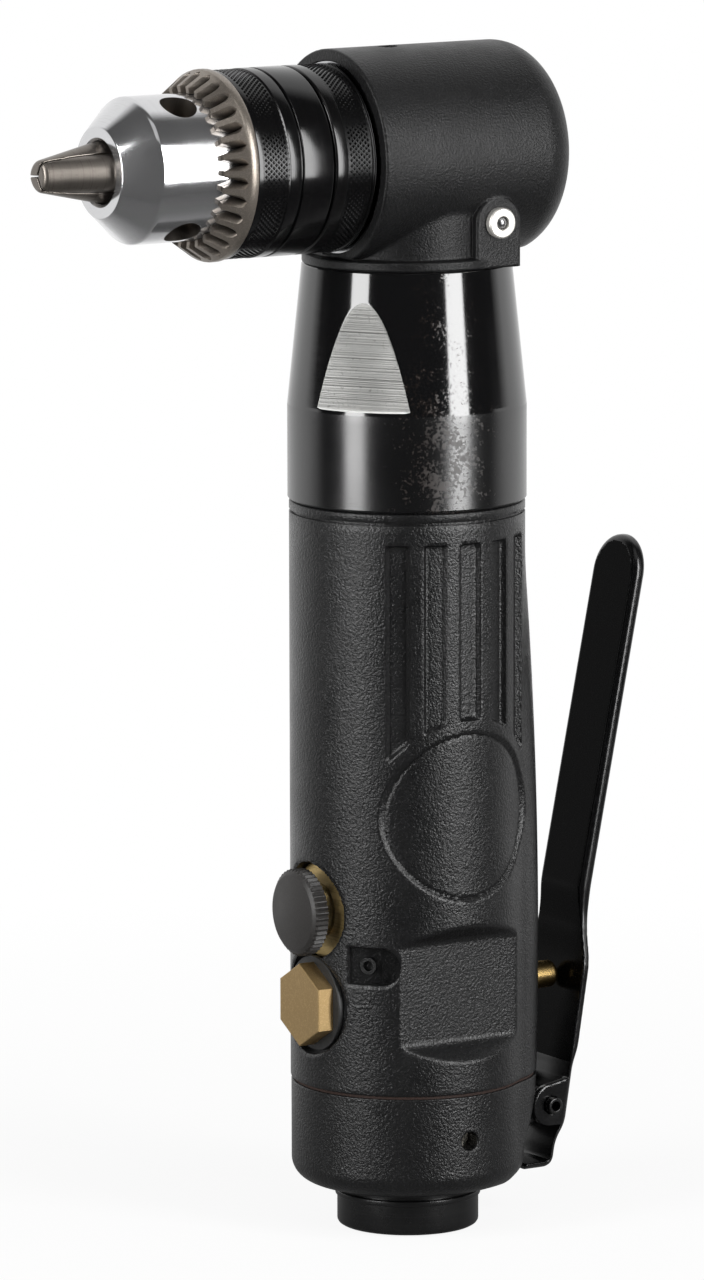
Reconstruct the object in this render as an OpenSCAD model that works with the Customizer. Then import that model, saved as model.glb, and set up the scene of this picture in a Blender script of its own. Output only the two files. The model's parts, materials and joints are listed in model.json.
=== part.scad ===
// Right angle air drill with a key chuck, a squeeze lever and a reverse knob.
// The handle stands on Z with the air inlet at the origin, the chuck points along -X and the
// lever lies on +X. All sizes are in millimetres and all angles in degrees.

/* [Handle] */
// Outer radius of the handle
handle_r = 20.5; // [20:0.1:22]
// Length of the motor housing
housing_h = 101.8; // [99:0.2:108]
// Wall of the housing round the motor
housing_wall = 3.5; // [2.9:0.1:3.7]
// Wall of the valve block over the reverse valve
block_roof = 0.4; // [0.3:0.1:2]
// Height of the plain lip above the seam groove
lip_h = 1.5; // [1:0.1:3]
// Width and depth of the seam groove
seam_groove = 0.5; // [0.3:0.1:0.8]
// How far the swelling behind the grip stands out of the handle
swell_stand = 3.6; // [2:0.1:4.5]
// Radius of the swelling seen from above
swell_r = 16.5; // [15:0.5:17.5]
// Radius of the long bow of the swelling seen from the side
swell_bow_r = 785; // [600:5:900]
// Height of the widest point of the swelling
swell_z = 50; // [44:1:56]
// Height at which the swelling fades out on the end cap
swell_end_z = 21.3; // [19:0.1:23]

/* [Grip details] */
// Number of upright grip grooves on each side
groove_n = 5; // [3:2:5]
// Width of a grip groove
groove_w = 4; // [3:0.1:4.6]
// Depth of a grip groove
groove_depth = 1; // [0.6:0.1:1.4]
// Angle between two grip grooves
groove_step = 18.5; // [17:0.5:20]
// Distance from the top of the housing to the grooves
groove_top_gap = 5.4; // [4:0.1:9]
// Land between the badge recess and the grooves
groove_land = 2.75; // [2:0.05:4]
// Radius of the round badge recess
badge_r = 14.2; // [11:0.1:14.6]
// Depth of the badge recess
badge_depth = 0.5; // [0.3:0.1:0.8]
// Height of the badge centre
badge_z = 75.2; // [73:0.1:78]
// Depth of the flat side pad
pad_depth = 3.9; // [2:0.1:4.2]
// Height of the flat side pad
pad_h = 18; // [12:0.5:19]
// Height of the sloping end of the side pad
pad_ramp = 2.9; // [2:0.1:4]
// Height of the side pad's centre
pad_z = 44.1; // [42:0.1:46]

/* [Pin pocket] */
// Direction that the pin pocket faces
pocket_angle = -143; // [-146:1:-140]
// Height of the pocket's pin
pocket_z = 49.2; // [48.6:0.1:50]
// Width of the pocket
pocket_w = 6.5; // [5:0.1:7]
// How far the pocket runs past its pin
pocket_run = 2.8; // [1.5:0.1:4]
// Depth of the pocket
pocket_depth = 2.2; // [1.5:0.1:3]
// Radius of the hollow pin in the pocket
pocket_pin_r = 1.5; // [1.2:0.1:2]
// Length of the hollow pin in the pocket
pocket_pin_l = 6; // [4:0.5:7]
// How far the hollow pin stands out of the pocket floor
pocket_pin_proud = 1; // [0.5:0.1:1.5]

/* [End cap and inlet] */
// Length of the inlet bush below the end cap
bush_drop = 8; // [7:0.5:10]
// Outer radius of the inlet bush
bush_r = 12.4; // [12:0.1:13.5]
// Height of the wide foot of the inlet bush
bush_foot_h = 5.2; // [4:0.1:6]
// How far the step ring of the bush stands out
bush_step = 0.35; // [0.2:0.05:0.6]
// Radius of the bush where it passes through the cap
bush_tube_r = 9; // [8:0.1:10]
// How far the bush is screwed into the valve block
bush_grip = 7; // [5:0.5:8]
// Radius of the inlet thread
inlet_r = 5.9; // [5:0.1:6.6]
// Depth of the inlet thread
inlet_depth = 12; // [10:0.5:14]
// Radius of the air way inside the bush
airway_r = 4.6; // [3.5:0.1:4.8]
// Thickness of the inlet screen
screen_t = 0.8; // [0.6:0.1:1.2]
// Height of the end cap
cap_h = 18; // [16:0.5:20]
// Thickness of the floor of the end cap
cap_floor = 4; // [3:0.5:5]
// Wall of the end cap
cap_wall = 3.4; // [3:0.1:4.9]
// Radius of the round lower edge of the end cap
cap_edge_r = 4; // [2:0.5:4]
// Radius of the cross hole in the end cap
cap_hole_r = 1.6; // [1.2:0.1:2]
// Height of the cross hole in the end cap
cap_hole_z = 18; // [17:0.5:20]
// Number of exhaust holes in the cap floor
exhaust_n = 10; // [6:1:12]
// Radius of an exhaust hole
exhaust_r = 1.3; // [1:0.1:1.5]
// Distance from the wall of the end cap to the middle of the exhaust holes
exhaust_inset = 2.4; // [2:0.1:3]
// Thickness of the gasket
gasket_t = 0.5; // [0.3:0.1:1]
// Height of the muffler ring
muffler_h = 9; // [6:0.5:9.5]
// Radius of the dowel between cap and housing
dowel_r = 1.2; // [0.9:0.1:1.4]
// Length of the dowel on each side of the gasket
dowel_l = 5; // [3:0.5:6]

/* [Lever] */
// Thickness of the lever's sheet
sheet_t = 1.25; // [1:0.05:1.5]
// Width of the lever at its ears
ear_span = 16.2; // [15:0.2:18]
// Width of the lever's grip
grip_w = 13.4; // [11:0.2:14.6]
// Thickness of the grip, where the sheet's edges are folded back flat
grip_hem = 2.5; // [2:0.1:2.6]
// Length of sheet that each bend of the lever takes on either side of its corner
bend_l = 1.6; // [0.8:0.1:2]
// Distance from the side of the handle to the lever's pivot
pivot_stand = 4.45; // [3.5:0.05:5.5]
// Height of the lever's pivot
pivot_z = 19.3; // [18.5:0.1:20]
// Outer radius of the ears round the pivot
ear_r = 3.8; // [3:0.1:4]
// Radius of the hollow pivot pin
pivot_pin_r = 1.5; // [1.2:0.1:1.7]
// How far the pivot pin stands out of each ear
pivot_pin_proud = 1.4; // [0.5:0.1:2]
// Radius of the pivot lug of the end cap
lug_r = 2.35; // [2.2:0.05:2.5]
// Distance from the top of the housing down to the lever's top end
lever_top_drop = 10; // [6:0.1:23]
// Angle of the lever's grip to the handle
grip_lean = 11.35; // [9:0.05:13]

/* [Throttle valve] */
// Height of the throttle valve above the lower end of the housing
throttle_rise = 14.6; // [14:0.1:15]
// Travel of the throttle valve
throttle_travel = 3.5; // [2.5:0.1:3.6]
// Radius of the valve stem
stem_r = 2.4; // [2:0.1:2.6]
// Radius of the valve chamber
chamber_r = 5; // [4.6:0.1:5.2]
// Radius of the hole in the valve seat
seat_hole_r = 3.3; // [3:0.1:3.6]
// Width across the flats of the hexagon plug
plug_af = 12.7; // [11:0.1:13.5]
// Height of the hexagon head
plug_head_h = 3; // [2:0.1:4]
// Radius of the plug's thread
plug_thread_r = 5.6; // [5.5:0.1:6]
// Radius of the round seat cut for the plug
plug_seat_r = 8.9; // [8.2:0.1:9]
// Depth of the plug's seat below the side of the handle
plug_seat_depth = 2.2; // [1.9:0.1:2.7]
// Thickness of the plug washer
washer_t = 1; // [0.6:0.1:1.5]
// Outer radius of the throttle bush
throttle_bush_r = 4.4; // [4:0.1:4.8]
// Wire radius of the valve spring
spring_wire_r = 0.45; // [0.3:0.05:0.5]
// Radius of the valve spring to the middle of its wire
spring_r = 3.2; // [2.8:0.1:3.4]
// Number of turns of the valve spring
spring_turns = 6; // [4:1:7]

/* [Reverse valve] */
// Height of the reverse valve above the lower end of the housing
reverse_rise = 31; // [30.9:0.1:31.4]
// Radius of the reverse knob
knob_r = 7.6; // [6.5:0.1:7.8]
// Thickness of the reverse knob
knob_t = 3.1; // [2.5:0.1:4]
// How far the face of the knob stands out of the handle
knob_stand = 3.2; // [2.7:0.1:4.5]
// Radius of the flange of the reverse bush
reverse_flange_r = 8.3; // [7.8:0.1:8.4]
// Thickness of the flange of the reverse bush
reverse_flange_t = 1.6; // [1:0.1:1.8]
// Depth of the flange face below the side of the handle
reverse_face_depth = 2.5; // [2.1:0.1:2.9]
// Outer radius of the reverse bush
reverse_bush_r = 6.4; // [6:0.1:6.5]
// Radius of the reverse spool
spool_r = 4.5; // [4:0.1:4.7]
// Radius of the transfer air ways
transfer_r = 1.8; // [1.4:0.1:2]
// Wall left between the inner end of the reverse bush and the side of the handle
reverse_end_wall = 6.7; // [6:0.1:7]

/* [Air motor] */
// Thickness of the motor's end plates
plate_t = 5; // [4.6:0.1:5.6]
// Wall of the motor cylinder at its middle
cylinder_wall = 3.5; // [3.2:0.1:3.6]
// How much smaller the rotor is than the cylinder's bore
rotor_play = 2.3; // [2.2:0.1:3]
// Running gap between the rotor and the cylinder at their nearest
rotor_gap = 0.1; // [0.05:0.05:0.2]
// Height of the rotor bearings' rings together
rotor_race = 4.3; // [4.1:0.05:4.4]
// Wall of an end plate round its bearing
plate_wall = 7.5; // [7.2:0.1:8.5]
// Width of the rotor bearings
rotor_bearing_w = 4; // [3.4:0.1:4.2]
// Number of vanes
vane_n = 5; // [4:1:6]
// Thickness of a vane
vane_t = 1.5; // [1:0.1:1.8]
// Height of a vane
vane_h = 4.6; // [3.5:0.1:4.8]
// Radius of the pin that keys the cylinder
cylinder_pin_r = 1.2; // [0.9:0.1:1.4]

/* [Planet stage] */
// Wall of the ring gear, from its pitch circle
ring_wall = 2.3; // [2.1:0.1:3.1]
// Teeth of the sun, in threes so that the planets fit evenly
sun_teeth = 12; // [12:6:12]
// Teeth of a planet
planet_teeth = 15; // [15:3:15]
// Width of the planet gears
planet_w = 7; // [5:0.5:7.4]
// Height of the ring gear
ring_gear_h = 12; // [11.6:0.1:12.6]
// Radius of a planet pin
planet_pin_r = 2; // [1.6:0.1:2.4]
// Thickness of the carrier disc
carrier_t = 4; // [3:0.2:4.6]
// Height of the carrier hub
carrier_hub_h = 3; // [2:0.2:3.4]

/* [Gear case] */
// How far the gear case stands out of the handle
case_stand = 0.25; // [0:0.05:1.5]
// How much the gear case tapers to its upper end
case_taper = 2.55; // [2.15:0.05:3.15]
// Length of the gear case's spigot in the housing
case_spigot_h = 5.8; // [4:0.1:8]
// Length of the gear case
case_h = 41.4; // [40:0.2:46]
// Height of the straight part of the gear case
case_straight_h = 16.9; // [12:0.1:18]
// Depth of a spanner flat
flat_depth = 2; // [1.55:0.05:2.25]
// Direction that the first spanner flat faces
flat_angle = -145.6; // [-150:0.2:-140]
// Height of the ledge below a spanner flat
flat_rise = 17.7; // [14:0.1:20]
// Radius of the pinion shaft
shaft_r = 4.5; // [4:0.1:4.6]
// Outer radius of the shaft bearings
shaft_bearing_r = 12; // [11:0.1:12.4]
// Width of the shaft bearings
shaft_bearing_w = 7; // [5:0.5:8]
// Length of the spigot that joins the head to the gear case
head_spigot_h = 4.7; // [3.5:0.1:6]

/* [Head] */
// Radius of the head
head_r = 18.6; // [18:0.1:19.5]
// Height of the chuck axis above the gear case
head_rise = 18.8; // [18.6:0.1:20]
// How far the neck reaches in front of the head's rim
rim_set_back = 0.6; // [0:0.1:0.9]
// How far the rear of the head stands out behind the neck
rear_stand = 8.2; // [7.2:0.1:10.7]
// Radius of the round rear edge of the head
rear_edge_r = 7; // [4:0.5:7.5]
// Height of the flange below the head
flange_t = 1.7; // [1:0.1:2.2]
// Ledge of the flange round the neck below the head
neck_ledge = 1.9; // [1.2:0.1:2.7]
// Radius of the grease boss
boss_r = 4.5; // [4:0.1:5]
// Distance from the handle axis to the grease boss, along the chuck axis
boss_x = 7.6; // [7:0.1:8.4]
// Depth of the grease boss below the chuck axis
boss_drop = 11; // [10:0.1:12]
// Distance from the handle axis to the face of the grease boss
boss_face_y = 17.6; // [17.2:0.1:18.4]
// Radius of the grease nipple
nipple_r = 2.65; // [2.2:0.05:3]
// Height of the grease nipple
nipple_h = 1.3; // [0.8:0.1:2]
// Radius of the nipple's ball
ball_r = 1.25; // [1:0.05:1.4]
// Radius of the set screw on top of the head
set_screw_r = 1.7; // [1.4:0.1:2]
// Distance from the handle axis to the set screw
set_screw_x = 4; // [3:0.1:5]

/* [Spindle and bevel gears] */
// Radius of the spindle
spindle_r = 6; // [5.5:0.1:6.2]
// Outer radius of the front spindle bearing
front_bearing_r = 14; // [13.6:0.1:14.4]
// Width of the front spindle bearing
front_bearing_w = 6; // [5:0.1:6.4]
// Thickness of the bearing retainer
retainer_t = 1.8; // [1.4:0.1:2.2]
// Radius of the rear journal of the spindle
rear_journal_r = 4; // [3.5:0.1:5]
// Outer radius of the rear spindle bearing
rear_bearing_r = 10; // [8:0.1:10.5]
// Width of the rear spindle bearing
rear_bearing_w = 6; // [5:0.1:6.5]
// Teeth of the bevel pinion
pinion_teeth = 11; // [11:1:11]
// Teeth of the bevel gear
gear_teeth = 22; // [22:1:22]
// Outer pitch radius of the bevel gear
bevel_r = 11.5; // [11.3:0.05:11.7]
// Face width of the bevel gears
bevel_face = 4.2; // [3:0.1:4.4]

/* [Chuck] */
// Gap between the head and the chuck
chuck_gap = 0.5; // [0.4:0.1:1]
// Outer radius of the chuck sleeve
sleeve_r = 16.2; // [16:0.1:16.6]
// Radius of the rim behind the key teeth
tooth_rim_r = 16.45; // [16.2:0.05:17]
// Width of the rear part of the chuck body
chuck_rear_w = 8.1; // [7:0.1:9]
// Width of the plain part of the sleeve
sleeve_w = 15; // [14:0.1:17]
// Width of the key teeth
teeth_w = 5.3; // [4.6:0.1:6]
// Number of key teeth
key_teeth = 30; // [24:1:36]
// Height of a key tooth
key_tooth_h = 1.5; // [1:0.1:1.8]
// Radius of the nose
nose_r = 12.58; // [12.2:0.02:13]
// Length of the straight part of the nose
nose_w = 11.3; // [10:0.1:12]
// Length of the conical part of the nose
cone_w = 5.3; // [4:0.1:6]
// Radius of the flat front face of the nose
nose_face_r = 7.85; // [7:0.05:8.5]
// Radius of the mouth of the nose
nose_bore_r = 5.45; // [5.2:0.05:5.6]
// Radius of a jaw
jaw_r = 3.2; // [3:0.05:3.3]
// Slope of the jaws to the chuck axis
jaw_angle = 13.5; // [13:0.1:13.8]
// How far the closed jaws stand out of the nose
jaw_out = 11.9; // [9:0.1:12.5]
// Length of a jaw
jaw_len = 34.6; // [31:0.1:36]
// Travel of the jaws along their slope
jaw_travel = 19.5; // [15:0.1:20]
// Radius of the key's pilot holes
pilot_r = 3.25; // [2.6:0.05:3.4]
// Depth of the pilot holes
pilot_depth = 4; // [3:0.1:4.6]
// Turn of the first pilot hole about the chuck axis
pilot_turn = 27; // [0:1:60]
// Radius of the spindle's nose thread
spindle_nose_r = 4.7; // [4.4:0.1:5]
// Width of the split nut
nut_w = 4.8; // [4:0.1:5.2]
// Bore radius of the sleeve over the nut
sleeve_bore_r = 14.4; // [14.2:0.05:14.6]
// Length of the spindle's nose thread
spindle_nose_l = 16.5; // [14:0.5:17]
// Radius of the chuck screw
chuck_screw_r = 2.5; // [2:0.1:2.8]

/* [Fits] */
// Radial gap of a seated fit between fixed pieces
seat_gap = 0.02; // [0.01:0.01:0.04]
// Radial gap of a running fit
run_gap = 0.04; // [0.02:0.01:0.08]
// Gap between faces that move past each other
side_gap = 0.3; // [0.2:0.05:0.4]
// Backlash left between gear teeth
backlash = 0.3; // [0.25:0.05:0.4]

/* [Hidden] */
$fn = 72;

// How far a cut runs past the face that it opens
over = 1;
// Fillet or chamfer that breaks a machined edge
edge = 0.6;
// Wall left round a pin
pin_wall = 1.6;
// Wall of a hub round its shaft
hub_wall = 2;
// Room left round a gear
gear_room = 1;
// Bore of a hollow pin as a share of its radius
pin_hollow = 0.6;

// Sizes that follow the radius of the handle
motor_bore_r = handle_r - housing_wall;
swell_reach = handle_r + swell_stand;
pivot_x = handle_r + pivot_stand;
plug_seat_x = handle_r - plug_seat_depth;
knob_face_x = handle_r + knob_stand;
reverse_face_x = handle_r - reverse_face_depth;
reverse_end_x = handle_r - reverse_end_wall;
case_r = handle_r + case_stand;
case_top_r = case_r - case_taper;
flat_x = case_r - flat_depth;
neck_r = case_top_r - neck_ledge;
rim_x = neck_r - rim_set_back;
rear_x = neck_r + rear_stand;
cylinder_bore_r = motor_bore_r - cylinder_wall;
rotor_r = cylinder_bore_r - rotor_play;
rotor_bearing_r = motor_bore_r - plate_wall;
journal_r = rotor_bearing_r - rotor_race;

// Heights along the handle
cap_z0 = bush_drop;
cap_z1 = cap_z0 + cap_h;
housing_z0 = cap_z1 + gasket_t;
housing_z1 = housing_z0 + housing_h;
throttle_z = housing_z0 + throttle_rise;
reverse_z = housing_z0 + reverse_rise;
block_z1 = reverse_z + reverse_flange_r + side_gap + block_roof;
rear_plate_z1 = block_z1 + plate_t;
ring_z1 = housing_z1 - case_spigot_h;
front_plate_z1 = ring_z1 - ring_gear_h;
cylinder_z1 = front_plate_z1 - plate_t;
cylinder_len = cylinder_z1 - rear_plate_z1;
case_z1 = housing_z1 + case_h;
flange_z1 = case_z1 + flange_t;
head_z = case_z1 + head_rise;
bush_z1 = housing_z0 + bush_grip;
lever_top_z = housing_z1 - lever_top_drop;

// How far the end cap stays inside the outline of the handle
cap_set_back = 0.1;
cap_r = handle_r - cap_set_back;
cap_bore_r = cap_r - cap_wall;
exhaust_circle_r = cap_bore_r - exhaust_inset;
// Slope of the lower end of the swelling
swell_slope = 33;
// Ledge under the inlet screen
screen_ledge = 0.4;
screen_r = inlet_r - screen_ledge;
dowel_y = (cap_bore_r + cap_r) / 2;
pocket_pin_x0 = handle_r - pocket_depth + pocket_pin_proud - pocket_pin_l;

// Planet stage
ring_teeth = sun_teeth + 2 * planet_teeth;
planet_module = 2 * (motor_bore_r - ring_wall) / ring_teeth;
planet_orbit = planet_module * (sun_teeth + planet_teeth) / 2;
planet_z0 = front_plate_z1 + gear_room;
planet_z1 = planet_z0 + planet_w;
carrier_z0 = planet_z1 + 2 * side_gap;
carrier_z1 = carrier_z0 + carrier_t;
carrier_hub_z1 = carrier_z1 + carrier_hub_h;
carrier_r = planet_orbit + planet_pin_r + pin_wall;
carrier_hub_r = shaft_r + hub_wall;
// Tooth heights above and below the pitch circle
planet_add = 0.9 * planet_module;
planet_ded = 1.2 * planet_module;
// Ledge that backs a shaft bearing
case_ledge = 3;
lower_bearing_z0 = carrier_hub_z1 + side_gap;
upper_bearing_z1 = case_z1 - head_spigot_h;

// Bevel pair with its apex on both axes
bevel_ratio = gear_teeth / pinion_teeth;
pinion_pitch_r = bevel_r / bevel_ratio;
bevel_cone = norm([bevel_r, pinion_pitch_r]);
bevel_pitch = 2 * PI * bevel_r / gear_teeth;
// Tooth heights above and below the pitch cone
bevel_addendum = 0.23 * bevel_pitch;
bevel_dedendum = 0.34 * bevel_pitch;
gear_hub_r = spindle_r + hub_wall;
pinion_cone_a = atan(1 / bevel_ratio);
pinion_way_r = pinion_pitch_r + bevel_addendum + gear_room;
cavity_r = bevel_r + bevel_addendum + gear_room;
// Ledge that the retainer is screwed against
retainer_ledge = 2.5;
retainer_r = front_bearing_r + retainer_ledge;
spindle_hub_r = spindle_r + hub_wall;
// Ledge of the nipple on its boss, and length of its stub
nipple_ledge = 0.9;
nipple_stub_r = nipple_r - nipple_ledge;
nipple_stub_l = 5;

// Stations along the chuck axis
retainer_x1 = -rim_x + side_gap + retainer_t;
front_bearing_x1 = retainer_x1 + front_bearing_w;
// Thickness of the bevel gear behind its teeth, and length of its hub
gear_back_w = 3;
gear_hub_w = 3;
gear_back_x = pinion_pitch_r + gear_back_w;
rear_bearing_x0 = gear_back_x + gear_hub_w;
rear_bearing_x1 = rear_bearing_x0 + rear_bearing_w;
chuck_x1 = -rim_x - chuck_gap;
chuck_ring_x0 = chuck_x1 - chuck_rear_w;
sleeve_x1 = chuck_ring_x0 - side_gap;
teeth_x1 = sleeve_x1 - sleeve_w;
teeth_x0 = teeth_x1 - teeth_w;
cone_x1 = teeth_x0 - nose_w;
nose_x0 = cone_x1 - cone_w;
jaw_x0 = nose_x0 - jaw_out;
// How far the nut reaches in front of the sleeve's plain part
nut_lead = 1.5;
nut_x0 = teeth_x1 - nut_lead;
nut_x1 = nut_x0 + nut_w;
spindle_x0 = chuck_x1 - spindle_nose_l;
// Web of the chuck body between the spindle and the shank's bore
chuck_web_t = 0.8;
shank_floor_x = spindle_x0 - chuck_web_t;
jaw_axis_r = nose_bore_r - jaw_r / cos(jaw_angle);
jaw_turn = pilot_turn + 60;
// Gap between the faces of the closed jaws, and round them inside the nut
jaw_split = 0.3;
jaw_room = 0.12;
jaw_way_l = jaw_len - jaw_out / cos(jaw_angle) + jaw_travel + 2 * side_gap;
function jaw_line_r(x) = nose_bore_r + (x - nose_x0) * tan(jaw_angle) + jaw_room;
nut_core_r = jaw_line_r(nut_x0) - side_gap;
// Lip that the mouth leaves round the shank's bore
mouth_lip = 0.25;
shank_r = nose_bore_r - mouth_lip;
// Land between the key teeth and the pilot holes
pilot_land = 1;
pilot_x = teeth_x0 - pilot_land - pilot_r;
// Length of the chuck screw in the spindle
chuck_screw_l = 10;
// Relief behind the rear spindle bearing
rear_relief = 2;
// Distance from the back of the sleeve to its marking groove
sleeve_groove_back = 6.45;
sleeve_groove_x = sleeve_x1 - sleeve_groove_back;

// Ridges of the key teeth, on a cone whose apex lies in front of the sleeve
key_ledge = 1.2;
key_inner_r = nose_r + key_ledge;
// Share of a key tooth's height that stands out of the sleeve
key_stand = 0.85;
key_outer_x = teeth_x1 - teeth_w / 2;
key_cone_a = atan((tooth_rim_r - key_inner_r) / (key_outer_x - teeth_x0));
key_apex_x = teeth_x0 - key_inner_r / tan(key_cone_a);
key_pitch = 2 * PI * tooth_rim_r / key_teeth;
function key_root_x(r) = key_apex_x + r / tan(key_cone_a) 
    + key_stand * key_tooth_h / sin(key_cone_a);

// Air motor
cylinder_offset = cylinder_bore_r - rotor_r - rotor_gap;
cylinder_r = motor_bore_r - seat_gap;
key_pin_y = -(cylinder_bore_r - cylinder_offset + motor_bore_r) / 2;
vane_root_r = rotor_r - vane_h;
// Land between a rotor bearing and the feed holes
feed_land = 0.5;
feed_x = rotor_bearing_r + transfer_r + feed_land;
// How far the key pin enters the valve block
key_pin_end = 3;

// Throttle valve stations
plug_head_x0 = plug_seat_x + washer_t;
// Distance from the handle axis to the valve seat, and length of the seat
seat_x = 7;
seat_l = 6.5;
seat_end_x = seat_x + seat_l;
transfer_x = seat_x + seat_l / 2;
// Thickness of the valve's seal and head, and the gap round them
valve_seal_t = 0.75;
valve_head_t = 3;
valve_side_gap = 0.6;
valve_head_x1 = seat_x - valve_seal_t;
valve_head_x0 = valve_head_x1 - valve_head_t;
valve_head_r = chamber_r - valve_side_gap;
// Room for the pressed spring, and depth of its pocket in the plug
spring_room = 5;
spring_pocket_l = 5;
plug_inner_x = -throttle_travel - spring_room;
spring_pocket_x = plug_inner_x - spring_pocket_l;
// Gap between the stem and the lever at rest
stem_gap = 0.3;
// Place and wire of the spool's seal
seal_inset = 6;
seal_x = seal_inset - reverse_face_x;
seal_wire_r = 0.7;

// Centre line of the valve spring, eight points to a turn
spring_steps = spring_turns * 8;
spring_x0 = spring_pocket_x + spring_wire_r + run_gap;
spring_l = valve_head_x0 - spring_wire_r - run_gap - spring_x0;
spring_path = [
    for (i = [0 : spring_steps])
        [spring_x0 + spring_l * i / spring_steps, spring_r * cos(45 * i), spring_r * sin(45 * i)]
];
// Least gap between one turn of the spring and the next
spring_gap = norm(spring_path[8] - spring_path[0]) - 2 * spring_wire_r;

// Lever path on its outer face, from the tip of the foot to the end of the grip
// Gap between the pivot lug and the lever's sheet
lug_gap = 0.4;
lever_back_x = pivot_x + lug_r + lug_gap + sheet_t;
lug_w = ear_span - 2 * sheet_t - 2 * side_gap;
foot_z = cap_z0;
// How far the foot laps under the edge of the cap
foot_lap = 0.9;
foot_tip_x = handle_r - foot_lap;
// Lean of the lever between the ears and the knee
shin_lean = 9.15;
// Step of the sheet below the ears, and height of the sheet above the foot
jog_in = 2.7;
jog_rise = 4.6;
// Height of the knee above the stem, and of the bow above the knee
knee_rise = 3.4;
bow_h = 5.5;
knee_z = throttle_z + knee_rise;
knee_x = lever_back_x + (knee_z - pivot_z) * tan(shin_lean);
bow_z = knee_z + bow_h;
lever_inner_x = knee_x - knee_rise * tan(shin_lean) - sheet_t / cos(shin_lean);
stem_tip_x = lever_inner_x - stem_gap;
grip_top_x = knee_x + (lever_top_z - bow_z) * tan(grip_lean);

// Basic shapes along the three axes
module z_rod(z0, z1, r) {
    translate([0, 0, z0]) cylinder(h = z1 - z0, r = r);
}

module x_rod(x0, x1, r) {
    translate([x0, 0, 0]) rotate([0, 90, 0]) cylinder(h = x1 - x0, r = r);
}

module y_rod(y0, y1, r) {
    translate([0, y0, 0]) rotate([-90, 0, 0]) cylinder(h = y1 - y0, r = r);
}

module z_tube(z0, z1, r, bore) {
    difference() {
        z_rod(z0, z1, r);
        z_rod(z0 - over, z1 + over, bore);
    }
}

module x_tube(x0, x1, r, bore) {
    difference() {
        x_rod(x0, x1, r);
        x_rod(x0 - over, x1 + over, bore);
    }
}

// Rod on Z with both end edges broken
module eased_rod(z0, z1, r, c) {
    rotate_extrude() polygon([[0, z0], [r - c, z0], [r, z0 + c], [r, z1 - c], [r - c, z1], [0, z1]]);
}

// Sealed ball bearing on Z, with the shield set back between its races
module bearing(z0, w, r, bore) {
    race_share = 0.26;
    race = (r - bore) * race_share;
    rotate_extrude() difference() {
        translate([bore, z0]) square([r - bore, w]);
        translate([bore + race, z0 - over]) square([r - bore - 2 * race, over + edge / 2]);
        translate([bore + race, z0 + w - edge / 2]) square([r - bore - 2 * race, over + edge / 2]);
    }
}

// Pressure angle of the planet stage, and slope of the bevel teeth
pressure_angle = 20;
flank_angle = 22;

// Straight flanked outline of a gear from its involute at three radii
function involute_turn(r, base) = r <= base ? 0 : (sqrt(r * r - base * base) / base) * 180 / PI
    - acos(base / r);

function tooth_half_angle(r, pitch_r, teeth, slack) = 90 / teeth - slack / 4 / pitch_r * 180 / PI
    + involute_turn(pitch_r, pitch_r * cos(pressure_angle))
    - involute_turn(r, pitch_r * cos(pressure_angle));

function gear_outline(teeth, pitch_r, root_r, tip_r, slack, turn) = [
    for (i = [0 : teeth - 1])
        for (s = [-1, 1])
            for (r = s < 0 ? [root_r, pitch_r, tip_r] : [tip_r, pitch_r, root_r])
                let (a = turn + i * 360 / teeth + s * tooth_half_angle(r, pitch_r, teeth, slack))
                    r * [cos(a), sin(a)]
];

// One bevel tooth that tapers to the apex at the origin, with its gear on +Z
module bevel_tooth(cone_l, face_w, cone_a, root_half, tip_half, add, ded) {
    along = [sin(cone_a), 0, cos(cone_a)];
    out = [cos(cone_a), 0, -sin(cone_a)];
    side = [0, 1, 0];
    points = [
        for (s = [1, 1 - face_w / cone_l])
            for (c = [[-ded, -root_half], [-ded, root_half], [add, tip_half], [add, -tip_half]])
                s * (cone_l * along + c[0] * out + c[1] * side)
    ];
    polyhedron(points, [[0, 1, 2], [0, 2, 3], [5, 4, 7], [5, 7, 6], [1, 0, 4], [1, 4, 5],
        [2, 1, 5], [2, 5, 6], [3, 2, 6], [3, 6, 7], [0, 3, 7], [0, 7, 4]]);
}

module bevel_teeth(teeth, cone_a, turn) {
    half = (bevel_pitch / 2 - backlash) / 2;
    flank = tan(flank_angle);
    for (i = [0 : teeth - 1])
        rotate([0, 0, turn + i * 360 / teeth])
            bevel_tooth(bevel_cone, bevel_face, cone_a, half + flank * bevel_dedendum,
                half - flank * bevel_addendum, bevel_addendum, bevel_dedendum);
}

// Root cone of a bevel gear on +Z, with a flat back at the height given
module bevel_blank(cone_a, back_z, bore) {
    sunk_share = 0.8;
    sunk = bevel_dedendum * sunk_share;
    outer = bevel_cone + edge / 2;
    inner = bevel_cone - bevel_face - edge / 2;
    k = inner / outer;
    outer_r = outer * sin(cone_a) - sunk * cos(cone_a);
    outer_z = outer * cos(cone_a) + sunk * sin(cone_a);
    rotate_extrude() polygon([[bore, k * outer_z], [k * outer_r, k * outer_z], [outer_r, outer_z],
        [outer_r, back_z], [bore, back_z]]);
}

// Chuck jaw slope: moves children from the jaw's own frame to the place of jaw number k
module on_jaw(k) {
    translate([nose_x0, 0, head_z])
        rotate([jaw_turn + 120 * k, 0, 0])
            translate([0, 0, jaw_axis_r])
                rotate([0, 90 - jaw_angle, 0]) children();
}

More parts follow.
